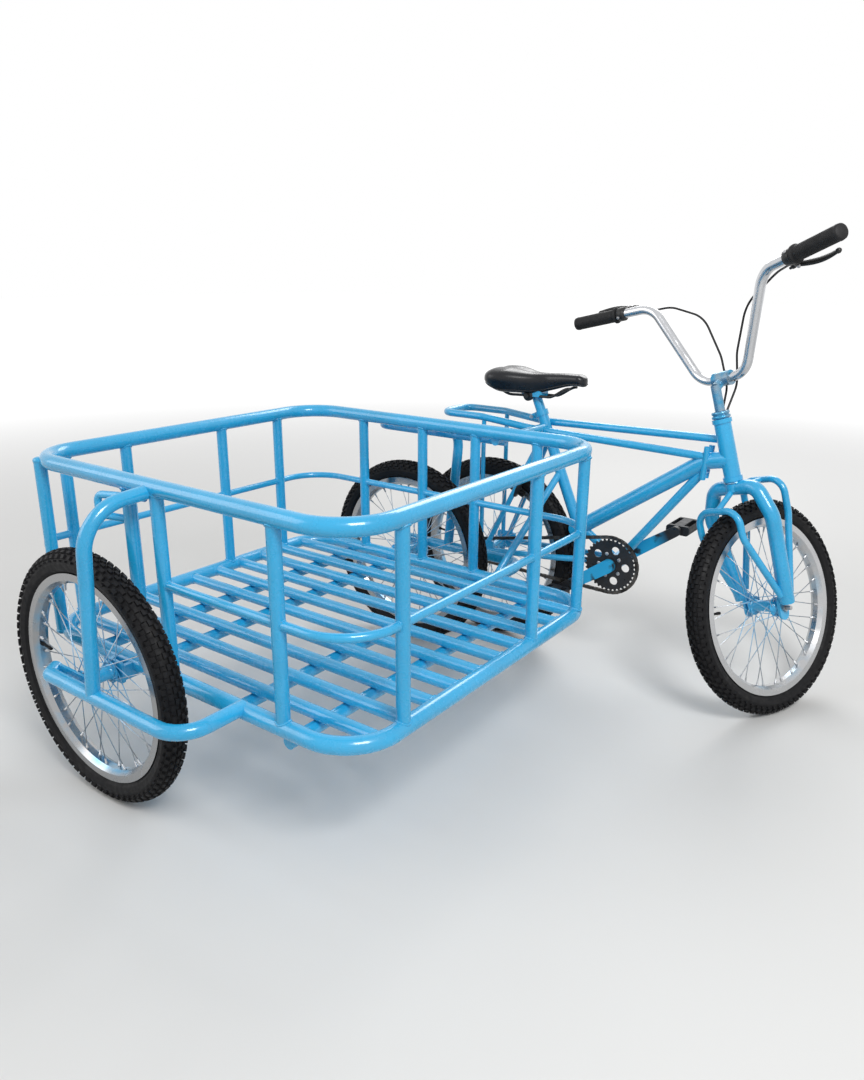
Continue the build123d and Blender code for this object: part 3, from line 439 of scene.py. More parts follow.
def blue_paint(settings):
    """Gloss sky-blue brushed enamel: runs and tone changes, small chips, dust near the ground."""
    sky = settings.paint[:3]
    finish = Finish("sky_blue_enamel", sky, 0.3)
    tone = finish.spread(finish.noise(7, 4), 0.35, 0.65)
    deep = tuple(0.93 * c for c in sky)
    pale = tuple(min(1.0, 1.06 * c + 0.004) for c in sky)
    painted = finish.mix(tone, deep, pale)
    streaks = finish.spread(finish.noise(38, 2, (1, 1, 0.12)), 0.58, 0.78, 0.0, 0.10)
    painted = finish.mix(streaks, painted, tuple(0.78 * c for c in sky))
    low = finish.spread(finish.coordinate("Z"), 0.30, 0.18, 0.0, 0.28)
    dust = finish.times(low, finish.spread(finish.noise(24, 5), 0.45, 0.7))
    painted = finish.mix(dust, painted, (0.30, 0.30, 0.27))
    chips = finish.spread(finish.noise(170, 2), 0.77, 0.79, 0.0, 0.7)
    painted = finish.mix(chips, painted, (0.05, 0.09, 0.12))
    finish.colour(painted)
    finish.roughness(60, 3, 0.20, 0.32)
    finish.bump(finish.noise(110, 2), 0.04, 0.0005)
    finish.shade({"Coat Weight": 0.55, "Coat Roughness": 0.05})
    return finish.material


def tyre_rubber():
    """Black rubber with fine grain, and grey-brown dust held between the blocks."""
    finish = Finish("tyre_rubber", (0.008, 0.008, 0.009), 0.6)
    dust = finish.spread(finish.noise(46, 5), 0.56, 0.76, 0.0, 0.4)
    finish.colour(finish.mix(dust, (0.007, 0.007, 0.008), (0.026, 0.024, 0.022)))
    finish.roughness(90, 3, 0.48, 0.72)
    finish.shade({"Specular IOR Level": 0.18})
    finish.bump(finish.noise(900), 0.25, 0.0004)
    return finish.material


def rim_metal(name, centre, bright, mist_share, settings):
    """Rolled rim: drawn metal, duller or brighter, with paint mist on the inner side."""
    finish = Finish(name, (bright, bright, bright), 0.3, 1.0)
    mist_edge = rim_inner_radius + 0.010
    mist_full = rim_inner_radius + 0.002
    mist = finish.spread(finish.distance(centre), mist_edge, mist_full, 0.0, mist_share)
    mist = finish.times(mist, finish.spread(finish.noise(22), 0.42, 0.68))
    dull = (0.8 * bright, 0.82 * bright, 0.85 * bright)
    metal = finish.mix(finish.noise(14, 4), dull, (bright,) * 3)
    finish.colour(finish.mix(mist, metal, settings.paint[:3]))
    finish.roughness(26, 4, 0.16, 0.32)
    finish.bump(finish.noise(240, 2), 0.03, 0.0002)
    return finish.material


def misted_steel(name, centre, settings):
    """Zinc-plated wire and nuts, misted with blue paint towards the hub."""
    finish = Finish(name, (0.55, 0.56, 0.58), 0.3, 0.95)
    near = finish.spread(finish.distance(centre), 0.17, 0.03)
    mist = finish.times(near, finish.spread(finish.noise(42, 5), 0.30, 0.6))
    metal = finish.mix(finish.noise(80), (0.36, 0.37, 0.38), (0.66, 0.67, 0.69))
    finish.colour(finish.mix(mist, metal, settings.paint[:3]))
    finish.metallic(finish.spread(mist, 0.0, 1.0, 0.95, 0.1))
    finish.roughness(150, 3, 0.25, 0.45)
    return finish.material


def crank_finish(settings):
    """Black chainring and bracket ends, with blue paint brushed over the arms on both sides."""
    finish = Finish("painted_cranks", (0.010, 0.010, 0.011), 0.36)
    bracket = joint_place("crank_spin")
    off_line = finish.distance_along("Y", bracket[1])
    arm = finish.spread(off_line, chain_line + 0.004, chain_line + 0.008)
    near = finish.spread(finish.distance(bracket), 0.14, 0.10)
    patchy = finish.spread(finish.noise(34, 5), 0.34, 0.46, 0.0, 0.95)
    cover = finish.times(finish.times(arm, near), patchy)
    black = finish.mix(finish.noise(55, 4), (0.008, 0.008, 0.009), (0.024, 0.024, 0.026))
    finish.colour(finish.mix(cover, black, settings.paint[:3]))
    finish.roughness(90, 3, 0.26, 0.46)
    finish.bump(finish.noise(300), 0.1, 0.0003)
    return finish.material


def chrome():
    """Chrome plate with smears and fine brown pits."""
    finish = Finish("chrome_plate", (0.60, 0.61, 0.63), 0.12, 1.0)
    pits = finish.spread(finish.noise(260), 0.66, 0.74, 0.0, 0.7)
    metal = finish.mix(finish.noise(9), (0.50, 0.51, 0.53), (0.68, 0.69, 0.71))
    finish.colour(finish.mix(pits, metal, (0.20, 0.16, 0.13)))
    finish.roughness(32, 5, 0.07, 0.26, start=0.35)
    finish.bump(finish.noise(260), 0.05, 0.0003)
    return finish.material


def misted_chrome(settings):
    """Chrome plate under a thin, uneven mist of blue paint."""
    finish = Finish("misted_chrome", (0.30, 0.40, 0.48), 0.22, 0.9)
    mist = finish.spread(finish.noise(36, 4), 0.38, 0.62, 0.30, 0.92)
    thin_paint = tuple(0.8 * c for c in settings.paint[:3])
    finish.colour(finish.mix(mist, (0.36, 0.40, 0.43), thin_paint))
    finish.metallic(finish.spread(mist, 0.3, 1.0, 0.95, 0.35))
    finish.roughness(80, 3, 0.14, 0.32)
    finish.bump(finish.noise(240, 2), 0.05, 0.0003)
    return finish.material


def plain_metal(name, low, high, roughness, metallic):
    """Dark or plated metal with patchy tone and grime."""
    finish = Finish(name, high, roughness, metallic)
    finish.colour(finish.mix(finish.spread(finish.noise(55, 5), 0.35, 0.65), low, high))
    finish.roughness(110, 3, roughness - 0.1, roughness + 0.15)
    finish.bump(finish.noise(420), 0.12, 0.0003)
    return finish.material


def moulded(name, colour, roughness, grain, depth):
    """Moulded plastic or rubber: fine grain, slight tone changes and scuffs."""
    finish = Finish(name, colour, roughness)
    scuff = finish.spread(finish.noise(28, 6), 0.55, 0.75, 0.0, 0.6)
    finish.colour(finish.mix(scuff, colour, tuple(c * 2.2 + 0.01 for c in colour)))
    finish.roughness(70, 4, roughness - 0.08, roughness + 0.12)
    finish.bump(finish.noise(grain), 0.35, depth)
    finish.shade({"Specular IOR Level": 0.3})
    return finish.material


def saddle_vinyl():
    """Black vinyl cover with leather-like grain, a soft sheen and paler worn patches."""
    finish = Finish("saddle_vinyl", (0.006, 0.007, 0.010), 0.3)
    worn = finish.spread(finish.noise(15, 4), 0.5, 0.75, 0.0, 0.4)
    finish.colour(finish.mix(worn, (0.005, 0.006, 0.009), (0.014, 0.015, 0.019)))
    finish.roughness(36, 4, 0.2, 0.36)
    finish.bump(finish.cells(620), 0.14, 0.0004)
    finish.shade({"Specular IOR Level": 0.4})
    return finish.material


# Sizes and colours that a user would change
class PaintSettings(bpy.types.PropertyGroup):
    paint: FloatVectorProperty(
        name="Frame paint", description="Enamel on the frame, cage and hubs", subtype="COLOR",
        size=4, default=(0.018, 0.378, 0.69, 1), min=0, max=1,
    )


def length_setting(name, description, default, low, high):
    """Setting in metres, shown in the user's units."""
    return FloatProperty(
        name=name, description=description, subtype="DISTANCE", default=default, min=low, max=high
    )


class WheelSettings(bpy.types.PropertyGroup):
    block_count: IntProperty(
        name="Tread blocks", description="Blocks in each row of a tyre", default=76, min=40, max=160
    )
    block_height: length_setting("Block height", "Height of a tread block", 0.0046, 0.001, 0.007)
    spoke_radius: length_setting("Spoke radius", "Half a spoke's thickness", 0.001, 0.0005, 0.002)


class SaddleSettings(bpy.types.PropertyGroup):
    half_width: length_setting("Half width", "Half the saddle's width behind", 0.080, 0.05, 0.12)
    nose_half: length_setting("Nose half width", "Half the nose's width", 0.023, 0.015, 0.04)


class StageSettings(bpy.types.PropertyGroup):
    floor_colour: FloatVectorProperty(
        name="Floor", description="Colour of the plain floor", subtype="COLOR", size=4,
        default=(0.72, 0.72, 0.71, 1), min=0, max=1,
    )
    lamp_power: FloatProperty(
        name="Lamps", description="Power of the main lamp in watts", default=86.0, min=0, max=1000
    )
    room_light: FloatProperty(
        name="Room light", description="Strength of the even light from all round", default=0.37,
        min=0, max=1,
    )


# Wheels
def wheel_place(wheel):
    """Centre and axle direction of a wheel, from its joint."""
    name = f"{wheel}_wheel_spin"
    return joint_place(name), unit(joints[name]["axis"])


def round_wheel(centre, axis, angle, radius, side):
    """Points at an angle and radius about a wheel's axle, and a distance to its side."""
    first, second = across(axis)
    angle, radius, side = np.broadcast_arrays(angle, radius, side)
    ring = np.cos(angle)[..., None] * first + np.sin(angle)[..., None] * second
    return centre + radius[..., None] * ring + side[..., None] * axis


def tyre_parts(centre, axis, settings):
    """Carcass: a circle about the tyre's ring, closed across the rim's bed, carried round the axle,
    with low ribs on its sides. Blocks: patches of that surface raised to the outer radius."""
    carcass = tyre_outer_half - settings.block_height
    lip = math.acos((rim_lip_radius - tyre_ring_radius) / carcass) - 0.02
    turn = np.linspace(-lip, lip, 61)
    rib = np.zeros(len(turn))
    for start, end, height in side_ribs:
        rise = smooth_step(start, start + rib_ramp, abs(turn))
        rib += height * (rise - smooth_step(end, end + rib_ramp, abs(turn)))
    radius = tyre_ring_radius + (carcass + rib) * np.cos(turn)
    side = (carcass + rib) * np.sin(turn)
    radius = np.concatenate([[rim_seat_radius], radius, [rim_seat_radius]])
    side = np.concatenate([[-bead_half], side, [bead_half]])
    around = np.linspace(0, 2 * math.pi, 240, endpoint=False)
    body = round_wheel(centre, axis, around[:, None], radius[None], side[None])
    parts = [grid_part(body, close_rows=True)]

    pitch = 2 * math.pi / settings.block_count
    edge = np.array([-1.0, -0.80, 0.80, 1.0])
    top = np.array([0.0, 1.0, 1.0, 0.0])
    reach = carcass - block_sunk + (settings.block_height + block_sunk) * np.outer(top, top)[None]
    for middle, half, share, start in block_rows:
        for sign in (-1, 1):
            shift = start if sign > 0 else start + 0.5
            begin = (np.arange(settings.block_count) + shift) * pitch
            angle = begin[:, None, None] + 0.5 * share * pitch * edge[None, :, None]
            slope = sign * (middle + half * edge[None, None, :])
            radius = tyre_ring_radius + reach * np.cos(slope)
            patch = round_wheel(centre, axis, angle, radius, reach * np.sin(slope))
            parts.append(many_grids(patch, smooth=False))
    return parts


def spoke_parts(centre, axis, spread, settings):
    """Spokes: straight wires from the flange to the rim, crossed, leading and trailing on each
    side, with a hooked end through the flange. Nipples: short turned ends at the rim."""
    pitch = 360.0 / spokes_of_a_kind
    copies = np.radians(np.arange(spokes_of_a_kind) * pitch)
    # A direction that is never along a wire, to set its rings by
    hint = axis + 0.01
    parts = []
    for side in (0, 1):
        level = (0.5 - side) * spread
        out = 1 if level > 0 else -1
        for lead in (0, 1):
            first = math.radians(pitch / 2 * lead + pitch / 4 * side)
            last = first + math.radians(spoke_lead if lead == 0 else -spoke_lead)
            face = out * (hook_half if lead == 0 else -hook_half)
            inner = round_wheel(centre, axis, first + copies, spoke_hole_radius, level + face)
            hook = round_wheel(centre, axis, first + copies, spoke_hole_radius, level - face)
            outer = round_wheel(centre, axis, last + copies, rim_inner_radius + 0.001, level / 8)
            wire = np.stack([hook, inner, 0.97 * inner + 0.03 * outer, outer], axis=1)
            thickness = np.full(wire.shape[:2], settings.spoke_radius)
            parts.append(tubes(wire, thickness, hint, sides=8, material=1))
            run = unit(outer - inner)
            nipple = np.stack([outer - run * along for along, _ in nipple_profile], axis=1)
            girth = np.broadcast_to([radius for _, radius in nipple_profile], nipple.shape[:2])
            parts.append(tubes(nipple, girth, hint, sides=10, material=1))
    return parts


def hub_profile(length, spread):
    """Turned hub: barrel waisted between two flanges, then cone seats and lock nuts at the ends."""
    flange = spread / 2
    end = length / 2
    right = [
        (flange - 0.010, barrel_radius * 0.92),
        (flange - 0.004, barrel_radius),
        (flange - flange_half - 0.0004, barrel_radius + 0.002),
        (flange - flange_half, flange_radius - 0.0006),
        (flange - flange_half + 0.0005, flange_radius),
        (flange + flange_half - 0.0005, flange_radius),
        (flange + flange_half, flange_radius - 0.0006),
        (flange + flange_half + 0.0006, barrel_radius),
        (min(flange + 0.007, end - 0.0035), barrel_radius - 0.001),
        (min(flange + 0.0075, end - 0.003), 0.0095),
        (end - 0.0005, 0.0095),
        (end, 0.0088),
        (end, 0.0051),
    ]
    left = [(-along, radius) for along, radius in reversed(right)]
    return left + right


class BICYCLE_OT_tyres(bpy.types.Operator):
    """Knobbly tyres of the four wheels"""

    bl_idname = "cargo_bicycle.tyres"
    bl_label = "Tyres"

    def execute(self, context):
        rubber = [tyre_rubber().name]
        for wheel in hub_sizes:
            centre, axis = wheel_place(wheel)
            parts = tyre_parts(centre, axis, context.scene.bicycle_wheels)
            body = f"{wheel}_wheel"
            build(f"{wheel}_tread_tyre", parts, rubber, body, [f"{wheel}_tyre"])
        return {"FINISHED"}


class BICYCLE_OT_wire_wheels(bpy.types.Operator):
    """Hubs, crossed spokes, nipples and valves of the four wheels"""

    bl_idname = "cargo_bicycle.wire_wheels"
    bl_label = "Wire wheels"

    def execute(self, context):
        for wheel, (length, spread) in hub_sizes.items():
            centre, axis = wheel_place(wheel)
            wire = misted_steel(f"{wheel}_wire", centre, context.scene.bicycle_paint)
            materials = ["sky_blue_enamel", wire.name, "tyre_rubber"]
            parts = [lathe(hub_profile(length, spread), centre, axis, 40)]
            parts += spoke_parts(centre, axis, spread, context.scene.bicycle_wheels)
            foot = round_wheel(centre, axis, valve_angle, rim_inner_radius + 0.001, 0.0)
            parts.append(lathe(valve_profile, foot, unit(centre - foot), 16, material=2))
            body = f"{wheel}_wheel"
            build(f"{wheel}_wire_hub", parts, materials, body, [f"{wheel}_hub"])
        return {"FINISHED"}


# Saddle
def round_end(distance, reach):
    """Rises from 0 to 1 as a quarter circle over a reach from an end."""
    return np.sqrt(1 - (1 - np.clip(distance / reach, 0, 1)) ** 2)


def saddle_surface(settings, rows=96, columns=72):
    """Long rounded shell: a rounded cross section whose width, top and skirt follow the length.
    The width falls from the back to the nose in one smooth step and closes round both ends, the
    top is highest over the back, and the skirt rises towards the nose. Its sides hang deepest at
    mid length, and the underside between them stays clear of the rails."""
    along = 0.5 - 0.5 * np.cos(np.linspace(0, math.pi, rows))
    angle = np.linspace(0, 2 * math.pi, columns, endpoint=False)
    ends = round_end(along, saddle_round_back) * round_end(1 - along, saddle_round_nose)
    narrow = smooth_step(0.16, 0.66, along)
    width = (settings.half_width * (1 - narrow) + settings.nose_half * narrow) * ends
    top = saddle_top_z - 0.008 * (1 - smooth_step(0.0, 0.16, along))
    top = top - 0.010 * smooth_step(0.22, 0.52, along) + 0.003 * smooth_step(0.55, 0.85, along)
    skirt = saddle_top_z - skirt_depth + 0.018 * smooth_step(0.45, 0.95, along)
    skirt = skirt + 0.003 * (1 - smooth_step(0.0, 0.2, along))
    middle = (top + skirt) / 2 - 0.004 * smooth_step(0.93, 1.0, along)
    half = (top - skirt) / 2 * (0.45 + 0.55 * ends)

    # The cross section is a circle squared off a little, more across than in height
    rise = np.sin(angle)
    outward = np.sign(np.cos(angle)) * abs(np.cos(angle)) ** 0.62
    x = saddle_rear_x + saddle_length * along
    y = width[:, None] * outward[None]
    z = middle[:, None] + half[:, None] * (np.sign(rise) * abs(rise) ** 0.72)[None]
    lean_in = 1 - 0.14 * smooth_step(0.0, 1.0, (middle[:, None] - z) / half[:, None])
    hang = skirt_hang * smooth_step(0.04, 0.24, along) * (1 - smooth_step(0.50, 0.95, along))
    at_side = smooth_step(0.40, 0.80, abs(outward)[None])
    z = z - hang[:, None] * at_side * smooth_step(0.0, 0.5, -rise)[None]
    over_back = ends * (1 - smooth_step(0.35, 0.6, along))
    groove = 0.0035 * np.exp(-((y / 0.010) ** 2)) * (rise[None] > 0) * over_back[:, None]
    points = np.stack(np.broadcast_arrays(x[:, None], y * lean_in, z - groove), axis=-1)
    return points + drawing_origin


class BICYCLE_OT_saddle(bpy.types.Operator):
    """Padded saddle with its piping"""

    bl_idname = "cargo_bicycle.saddle"
    bl_label = "Saddle"

    def execute(self, context):
        surface = saddle_surface(context.scene.bicycle_saddle)
        vinyl = [saddle_vinyl().name]
        parts = [grid_part(surface)]
        cover = build("padded_saddle", parts, vinyl, "frame", ["saddle"])
        smooth = cover.modifiers.new("Smooth", "SUBSURF")
        smooth.levels = 1
        smooth.render_levels = 1
        # The piping stops four rows short of both ends, where the shell closes
        hem_columns = [round(share * surface.shape[1]) for share in hem_shares]
        hem = np.transpose(surface[4:-4, hem_columns], (1, 0, 2))
        piping = tubes(hem, np.full(hem.shape[:2], piping_radius), np.array([0, 0, 1.0]), sides=8)
        build("saddle_piping", [piping], vinyl, "frame")
        return {"FINISHED"}


class BICYCLE_OT_saddle_rails(bpy.types.Operator):
    """Wire rails, clamp cheeks and bolt under the saddle"""

    bl_idname = "cargo_bicycle.saddle_rails"
    bl_label = "Saddle rails"

    def execute(self, context):
        share = np.linspace(0, 1, 40)
        x = saddle_rear_x + 0.03 + 0.215 * share
        z = 0.712 - 0.020 * smooth_step(0.0, 0.25, share) + 0.026 * smooth_step(0.72, 1.0, share)
        y = 0.036 - 0.016 * smooth_step(0.1, 0.5, share)
        paths = np.stack([placed(np.stack([x, side * y, z], axis=-1)) for side in (-1, 1)])
        girth = np.full(paths.shape[:2], rail_wire_radius)
        middle = placed(clamp_place)
        left = np.array([0, 1.0, 0])
        cheek = chamfered(0.009, 0.014, 0.001)
        bolt = through_bolt(0.034, 0.006, 0.0065, 0.004, 0.0075)
        parts = [
            tubes(paths, girth, np.array([0, 0, 1.0]), sides=12),
            lathe(cheek, middle + 0.017 * left, left, 28),
            lathe(cheek, middle - 0.017 * left, -left, 28),
            lathe(bolt, middle, left, 6, smooth=False),
        ]
        build("saddle_rails_and_clamp", parts, ["black_metal"], "frame")
        return {"FINISHED"}


# Steering details
def steering_ways():
    """Directions to the left, up and ahead of the steering as parked."""
    straight = np.array([math.sin(head_angle), 0.0, math.cos(head_angle)])
    left = np.array([0.0, 1.0, 0.0])
    ahead = straight * math.cos(rest_turn) + left * math.sin(rest_turn)
    beside = left * math.cos(rest_turn) - straight * math.sin(rest_turn)
    return beside, unit(joints["steering"]["axis"]), ahead


def steered(*place):
    """Point of the steering as parked: beside, along and ahead, from the head tube's lower end."""
    return joint_place("steering") + sum(size * way for size, way in zip(place, steering_ways()))


def bar_line(side):
    """End of the handlebar on one side and the direction from there to its shoulder."""
    end = steered(side * bar_end[0], *bar_end[1:])
    shoulder = steered(side * bar_shoulder[0], *bar_shoulder[1:])
    return end, unit(shoulder - end)


class BICYCLE_OT_grips(bpy.types.Operator):
    """Ribbed rubber grips with a closed end and a flange"""

    bl_idname = "cargo_bicycle.grips"
    bl_label = "Grips"

    def execute(self, context):
        along = np.linspace(0.006, grip_length - 0.010, 150)
        wave = 0.5 + 0.5 * np.cos(along / grip_rib_pitch * 2 * math.pi)
        ribs = grip_radius - 0.0016 + grip_rib_depth * wave
        profile = [
            (-0.004, 0),
            (-0.004, grip_radius - 0.004),
            (-0.002, grip_radius - 0.001),
            (0.004, grip_radius),
            *zip(along, ribs),
            (grip_length - 0.0075, grip_radius - 0.001),
            (grip_length - 0.0055, grip_radius + 0.0025),
            (grip_length - 0.0045, grip_radius + 0.0032),
            (grip_length - 0.0010, grip_radius + 0.0032),
            (grip_length, grip_radius + 0.0024),
            (grip_length, bar_radius),
        ]
        parts = [lathe(profile, *bar_line(side), 48) for side in (-1, 1)]
        build("ribbed_grips", parts, ["grip_rubber"], "steering", ["grips"])
        return {"FINISHED"}


def lever_parts(side):
    """Clamp band, bracket and a blade whose oval section follows a bent line beside the grip. The
    whole lever is turned about the bar, up on the left and down on the right."""
    end, inward = bar_line(side)
    _, up, ahead = steering_ways()
    turn = left_lever_turn if side > 0 else right_lever_turn
    out = unit(ahead * math.cos(turn) + up * math.sin(turn))
    flat = unit(np.cross(out, inward))
    clamp = end + inward * (grip_length + 0.004)
    middle = clamp + inward * 0.009
    pivot = middle + out * 0.027
    share = np.linspace(0, 1, 12)[:, None]
    bracket = (middle + inward * 0.004 * share + out * (0.010 + 0.022 * share))[None]
    girth = np.broadcast_to(0.0082 - 0.0022 * share[:, 0] ** 2, bracket.shape[:2])

    share = np.linspace(0, 1, 48)[:, None]
    bulge = np.sin(share * math.pi)
    line = pivot - inward * (lever_blade * share - 0.006) + out * (0.016 * share + 0.009 * bulge)
    angle = np.linspace(0, 2 * math.pi, 20, endpoint=False)[:, None]
    thick = (0.0030 + 0.0012 * bulge)[:, None]
    broad = (0.0052 + 0.0020 * bulge**0.6)[:, None]
    blade = line[:, None] + thick * (np.cos(angle) * out) + broad * (np.sin(angle) * flat)
    caps = np.broadcast_to(line[:, None], blade.shape)
    return [
        lathe(lever_band, clamp, inward, 36),
        tubes(bracket, girth, inward, sides=18),
        grid_part(np.concatenate([caps[:1], blade, caps[-1:]])),
        lathe(lever_tip, line[-1], inward, 24),
        lathe(lever_barrel, pivot + inward * 0.004, unit(inward + 0.12 * out), 14, smooth=False),
        lathe(lever_pin, pivot + out * 0.002, flat, 16, material=1),
        lathe(lever_bolt, middle - out * 0.0135, -out, 6, material=1, smooth=False),
    ]


class BICYCLE_OT_levers(bpy.types.Operator):
    """Brake levers with their clamp bands"""

    bl_idname = "cargo_bicycle.levers"
    bl_label = "Brake levers"

    def execute(self, context):
        parts = lever_parts(-1) + lever_parts(1)
        steels = ["black_metal", "plated_steel"]
        build("formed_brake_levers", parts, steels, "steering", ["brake_levers"])
        return {"FINISHED"}


# Weld beads
def bead_parts(places, stub_axes, rail_axes, stub_radius, main_radius, bead):
    """Rippled bead along the line where a round stub meets a round rail. The line is a circle of
    the stub's radius, set back along the stub by the rail's roundness. One axis can serve all."""
    rows = (places, stub_axes, rail_axes)
    places, stub_axes, rail_axes = (np.atleast_2d(row)[:, None] for row in rows)
    sideways = np.cross(stub_axes, rail_axes)
    angle = np.linspace(0, 2 * math.pi, 56, endpoint=False)[None, :, None]
    circle = stub_radius * (np.cos(angle) * rail_axes + np.sin(angle) * sideways)
    depth = np.sqrt(np.clip(main_radius**2 - (stub_radius * np.sin(angle)) ** 2, 0, None))
    path = places + circle - stub_axes * depth
    ripple = 1 + 0.16 * np.sin(17 * angle[..., 0] + 120 * places[..., 0])
    radii = np.broadcast_to(bead * ripple, path.shape[:2])
    return tubes(path, radii, -stub_axes, sides=8, closed=True)


class BICYCLE_OT_welds(bpy.types.Operator):
    """Weld beads at the cage's posts, slats and middle rail"""

    bl_idname = "cargo_bicycle.welds"
    bl_label = "Weld beads"

    def execute(self, context):
        x_way, y_way, z_way = np.eye(3)
        sides = [(x, cage_right_y) for x in right_post_x] + [(x, cage_left_y) for x in left_post_x]
        ends = [(cage_front_x, y) for y in front_post_y] + [(cage_rear_x, y) for y in rear_post_y]
        corner = (right_post_x[0], cage_right_y)
        straight = [place for place in sides if place != corner]
        rail_ways = [x_way] * len(straight) + [y_way] * len(ends)
        rail_radii = (post_radius, rail_radius, rail_bead)
        parts = []
        for height, way in ((top_rail_z, z_way), (floor_z, -z_way)):
            places = placed([(x, y, height) for x, y in straight + ends])
            parts.append(bead_parts(places, way, rail_ways, *rail_radii))
            parts.append(lathe(post_cap, placed((*corner, height)), way, 32))
        slat_run = cage_left_y - cage_right_y - 2 * slat_margin
        slats = cage_left_y - slat_margin - np.linspace(0, slat_run, slat_count)
        for rail_x, way in ((cage_front_x, x_way), (cage_rear_x, -x_way)):
            places = placed([(rail_x, y, floor_z) for y in slats])
            parts.append(bead_parts(places, way, y_way, *rail_radii))

        # The middle rail runs into each post from both ways, but is open at the right wheel
        radii = (middle_rail_radius, post_radius, middle_bead)
        for sign, open_posts in ((-1, right_post_x[1:3]), (1, right_post_x[:2])):
            runs = [(x, y) for x, y in sides if y != cage_right_y or x not in open_posts]
            stubs = [-sign * x_way] * len(runs) + [-sign * y_way] * len(ends)
            places = placed([(x, y, middle_rail_z) for x, y in runs + ends])
            parts.append(bead_parts(places, stubs, z_way, *radii))
        build("cage_weld_beads", parts, ["sky_blue_enamel"], "frame")
        return {"FINISHED"}


# Small turned parts
def chamfered(length, radius, chamfer=0.0008):
    """Profile of a disc, or of a bolt head where it is carried round with six sides."""
    return [
        (0, 0), (0, radius - chamfer), (chamfer, radius), (length - chamfer, radius),
        (length, radius - chamfer), (length, 0),
    ]


def through_bolt(half, head, head_radius, shank_radius, nut_radius):
    """Profile of a bolt from its head, which is as thick as its nut, through to the nut."""
    inner = half - head
    return [
        (-half, 0), (-half, head_radius), (-inner, head_radius), (-inner, shank_radius),
        (inner, shank_radius), (inner, nut_radius), (half, nut_radius), (half, 0),
    ]


class BICYCLE_OT_fasteners(bpy.types.Operator):
    """Bolts of the stem, seat collar and chainring, and the headset's rings"""

    bl_idname = "cargo_bicycle.fasteners"
    bl_label = "Fasteners"

    def execute(self, context):
        beside, up, _ = steering_ways()
        parts = [
            lathe(headset_stack, steered(0, headset_along, 0), up, 48),
            lathe(crown_race, steered(0, race_along, 0), -up, 48),
        ]
        for side, length in ((1, 0.008), (-1, 0.006)):
            place = steered(side * 0.006, bar_along - 0.012, stem_reach + 0.016)
            parts.append(lathe(chamfered(length, 0.0065), place, -side * beside, 6, smooth=False))
        build("stem_bolts_and_rings", parts, ["misted_chrome"], "steering")

        up_seat = unit(np.subtract(seat_top, seat_foot))
        collar = placed(seat_top) + up_seat * 0.007 - np.array([0.0235, 0, 0.010])
        bolt = through_bolt(0.016, 0.005, 0.005, 0.003, 0.0058)
        parts = [lathe(bolt, collar, (0, 1, 0), 6, smooth=False)]
        build("seat_collar_bolt", parts, ["plated_steel"], "frame")

        centre = joint_place("crank_spin") - np.array([0, chain_line + 0.0013, 0])
        bolts = []
        for turn in np.radians(np.arange(5) * 72.0 + 36.0):
            place = centre + chainring_bolt_circle * np.array([math.cos(turn), 0, math.sin(turn)])
            bolts.append(lathe(chainring_bolt, place, (0, -1, 0), 20))
        build("chainring_bolts", bolts, ["plated_steel"], "cranks")
        return {"FINISHED"}


# Finish of the solids that are shown as they are
class BICYCLE_OT_finishes(bpy.types.Operator):
    """Paint, plating and rubber on the frame, cage and fittings"""

    bl_idname = "cargo_bicycle.finishes"
    bl_label = "Finishes"

    def execute(self, context):
        settings = context.scene.bicycle_paint
        slots = {
            "blue_paint": blue_paint(settings),
            "bar_chrome": chrome(),
            **{slot: plain_metal(*look) for slot, look in metal_looks.items()},
            **{slot: moulded(*look) for slot, look in moulded_looks.items()},
        }
        own_finish = {"crankset": crank_finish(settings), "stem": misted_chrome(settings)}
        slot_of = {row["node"]: row["material_slot"] for row in frame["record"]["subparts"]}
        for name, node in nodes.items():
            material = own_finish.get(name, slots.get(slot_of[name]))
            if name.endswith("_rim"):
                wheel = name.split("_")[0]
                look = front_rim_look if wheel == "front" else other_rim_look
                material = rim_metal(f"{wheel}_rim_metal", wheel_place(wheel)[0], *look, settings)
            if material is None:
                continue
            for slot in node.material_slots:
                slot.material = material
        return {"FINISHED"}


# Floor, lamps and camera
def seen_ray(tree):
    """1 for rays that show the background, straight, in metal or through glass, and else 0."""
    path = tree.nodes.new("ShaderNodeLightPath").outputs
    either = path["Is Camera Ray"]
    for name in ("Is Glossy Ray", "Is Transmission Ray"):
        either = add_node(tree, "Math", {0: either, 1: path[name]}, 0, operation="MAXIMUM")
    return either


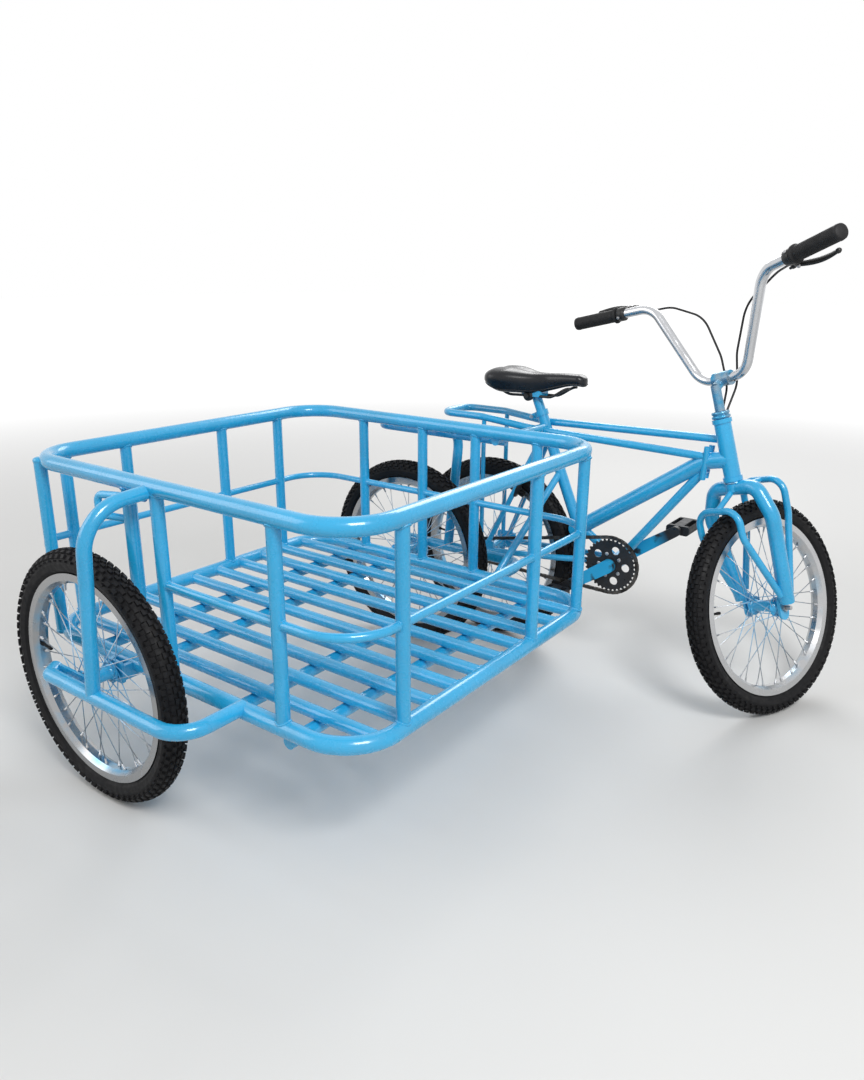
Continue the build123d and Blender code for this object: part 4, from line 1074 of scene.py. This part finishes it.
class BICYCLE_OT_stage(bpy.types.Operator):
    """Plain floor, soft lamps and the camera"""

    bl_idname = "cargo_bicycle.stage"
    bl_label = "Stage"

    def execute(self, context):
        settings = context.scene.bicycle_stage
        colour = settings.floor_colour[:3]
        finish = Finish("plain_floor", colour, 0.75)
        far = finish.spread(finish.distance((0, 0, 0)), *floor_fade)
        near_floor = finish.mix(finish.noise(2.2), colour, tuple(0.97 * c for c in colour))
        finish.colour(finish.mix(far, near_floor, (0, 0, 0)))
        glow = finish.times(far, seen_ray(finish.tree))
        finish.shade({"Emission Color": (1, 1, 1, 1), "Emission Strength": glow})
        mesh = bpy.data.meshes.new("floor")
        corners = np.array([(-1, -1, 0), (1, -1, 0), (1, 1, 0), (-1, 1, 0)]) * floor_half
        mesh.from_pydata(corners.tolist(), [], [(0, 1, 2, 3)])
        mesh.materials.append(finish.material)
        floor = add_object("floor", mesh)

        world = bpy.data.worlds.new("soft_room")
        world.use_nodes = True
        tree = world.node_tree
        levels = {"Value": seen_ray(tree), "To Min": settings.room_light, "To Max": 1.0}
        strength = add_node(tree, "MapRange", levels, "Result")
        feed(tree, tree.nodes["Background"], {"Color": (1, 1, 1, 1), "Strength": strength})
        context.scene.world = world
        for name, place, width, share in lamps:
            lamp = bpy.data.lights.new(name, "AREA")
            lamp.size = width
            lamp.energy = settings.lamp_power * share
            holder = add_object(name, lamp)
            holder.location = place
            aim = Vector((0, 0, 0.4)) - holder.location
            holder.rotation_euler = aim.to_track_quat("-Z", "Y").to_euler()

        camera = bpy.data.cameras.new("camera")
        camera.sensor_width = 36.0
        camera.lens = focal_px / image_height_px * camera.sensor_width
        holder = add_object("camera", camera)
        level = math.cos(camera_pitch)
        look = [level * math.cos(camera_azimuth), level * math.sin(camera_azimuth)]
        look = Vector((*look, math.sin(camera_pitch)))
        turned = look.to_track_quat("-Z", "Y").to_matrix() @ Matrix.Rotation(camera_roll, 3, "Z")
        holder.rotation_euler = turned.to_euler()
        holder.location = camera_place
        context.scene.camera = holder
        context.scene.view_settings.view_transform = "Standard"
        return {"FINISHED"}


class BICYCLE_PT_panel(bpy.types.Panel):
    """Lists the settings and the steps in order"""

    bl_label = "Cargo Bicycle"
    bl_idname = "BICYCLE_PT_panel"
    bl_space_type = "VIEW_3D"
    bl_region_type = "UI"
    bl_category = "Cargo Bicycle"

    def draw(self, context):
        for group_name in setting_groups:
            group = getattr(context.scene, group_name)
            for name in group.__annotations__:
                self.layout.prop(group, name)
        for step in steps:
            self.layout.operator(step.bl_idname)


setting_groups = {
    "bicycle_paint": PaintSettings,
    "bicycle_wheels": WheelSettings,
    "bicycle_saddle": SaddleSettings,
    "bicycle_stage": StageSettings,
}
steps = (
    BICYCLE_OT_finishes,
    BICYCLE_OT_tyres,
    BICYCLE_OT_wire_wheels,
    BICYCLE_OT_saddle,
    BICYCLE_OT_saddle_rails,
    BICYCLE_OT_grips,
    BICYCLE_OT_levers,
    BICYCLE_OT_welds,
    BICYCLE_OT_fasteners,
    BICYCLE_OT_stage,
)


def register():
    """Adds the settings to the scene, and the steps and the panel to Blender."""
    for group in setting_groups.values():
        bpy.utils.register_class(group)
    for name, group in setting_groups.items():
        setattr(bpy.types.Scene, name, PointerProperty(type=group))
    for step in (*steps, BICYCLE_PT_panel):
        bpy.utils.register_class(step)


def unregister():
    """Takes away what register adds."""
    for step in reversed((*steps, BICYCLE_PT_panel)):
        bpy.utils.unregister_class(step)
    for name, group in setting_groups.items():
        delattr(bpy.types.Scene, name)
        bpy.utils.unregister_class(group)


def main():
    """Runs every step."""
    register()
    for step in steps:
        prefix, name = step.bl_idname.split(".")
        getattr(getattr(bpy.ops, prefix), name)()


if __name__ == "__main__":
    main()
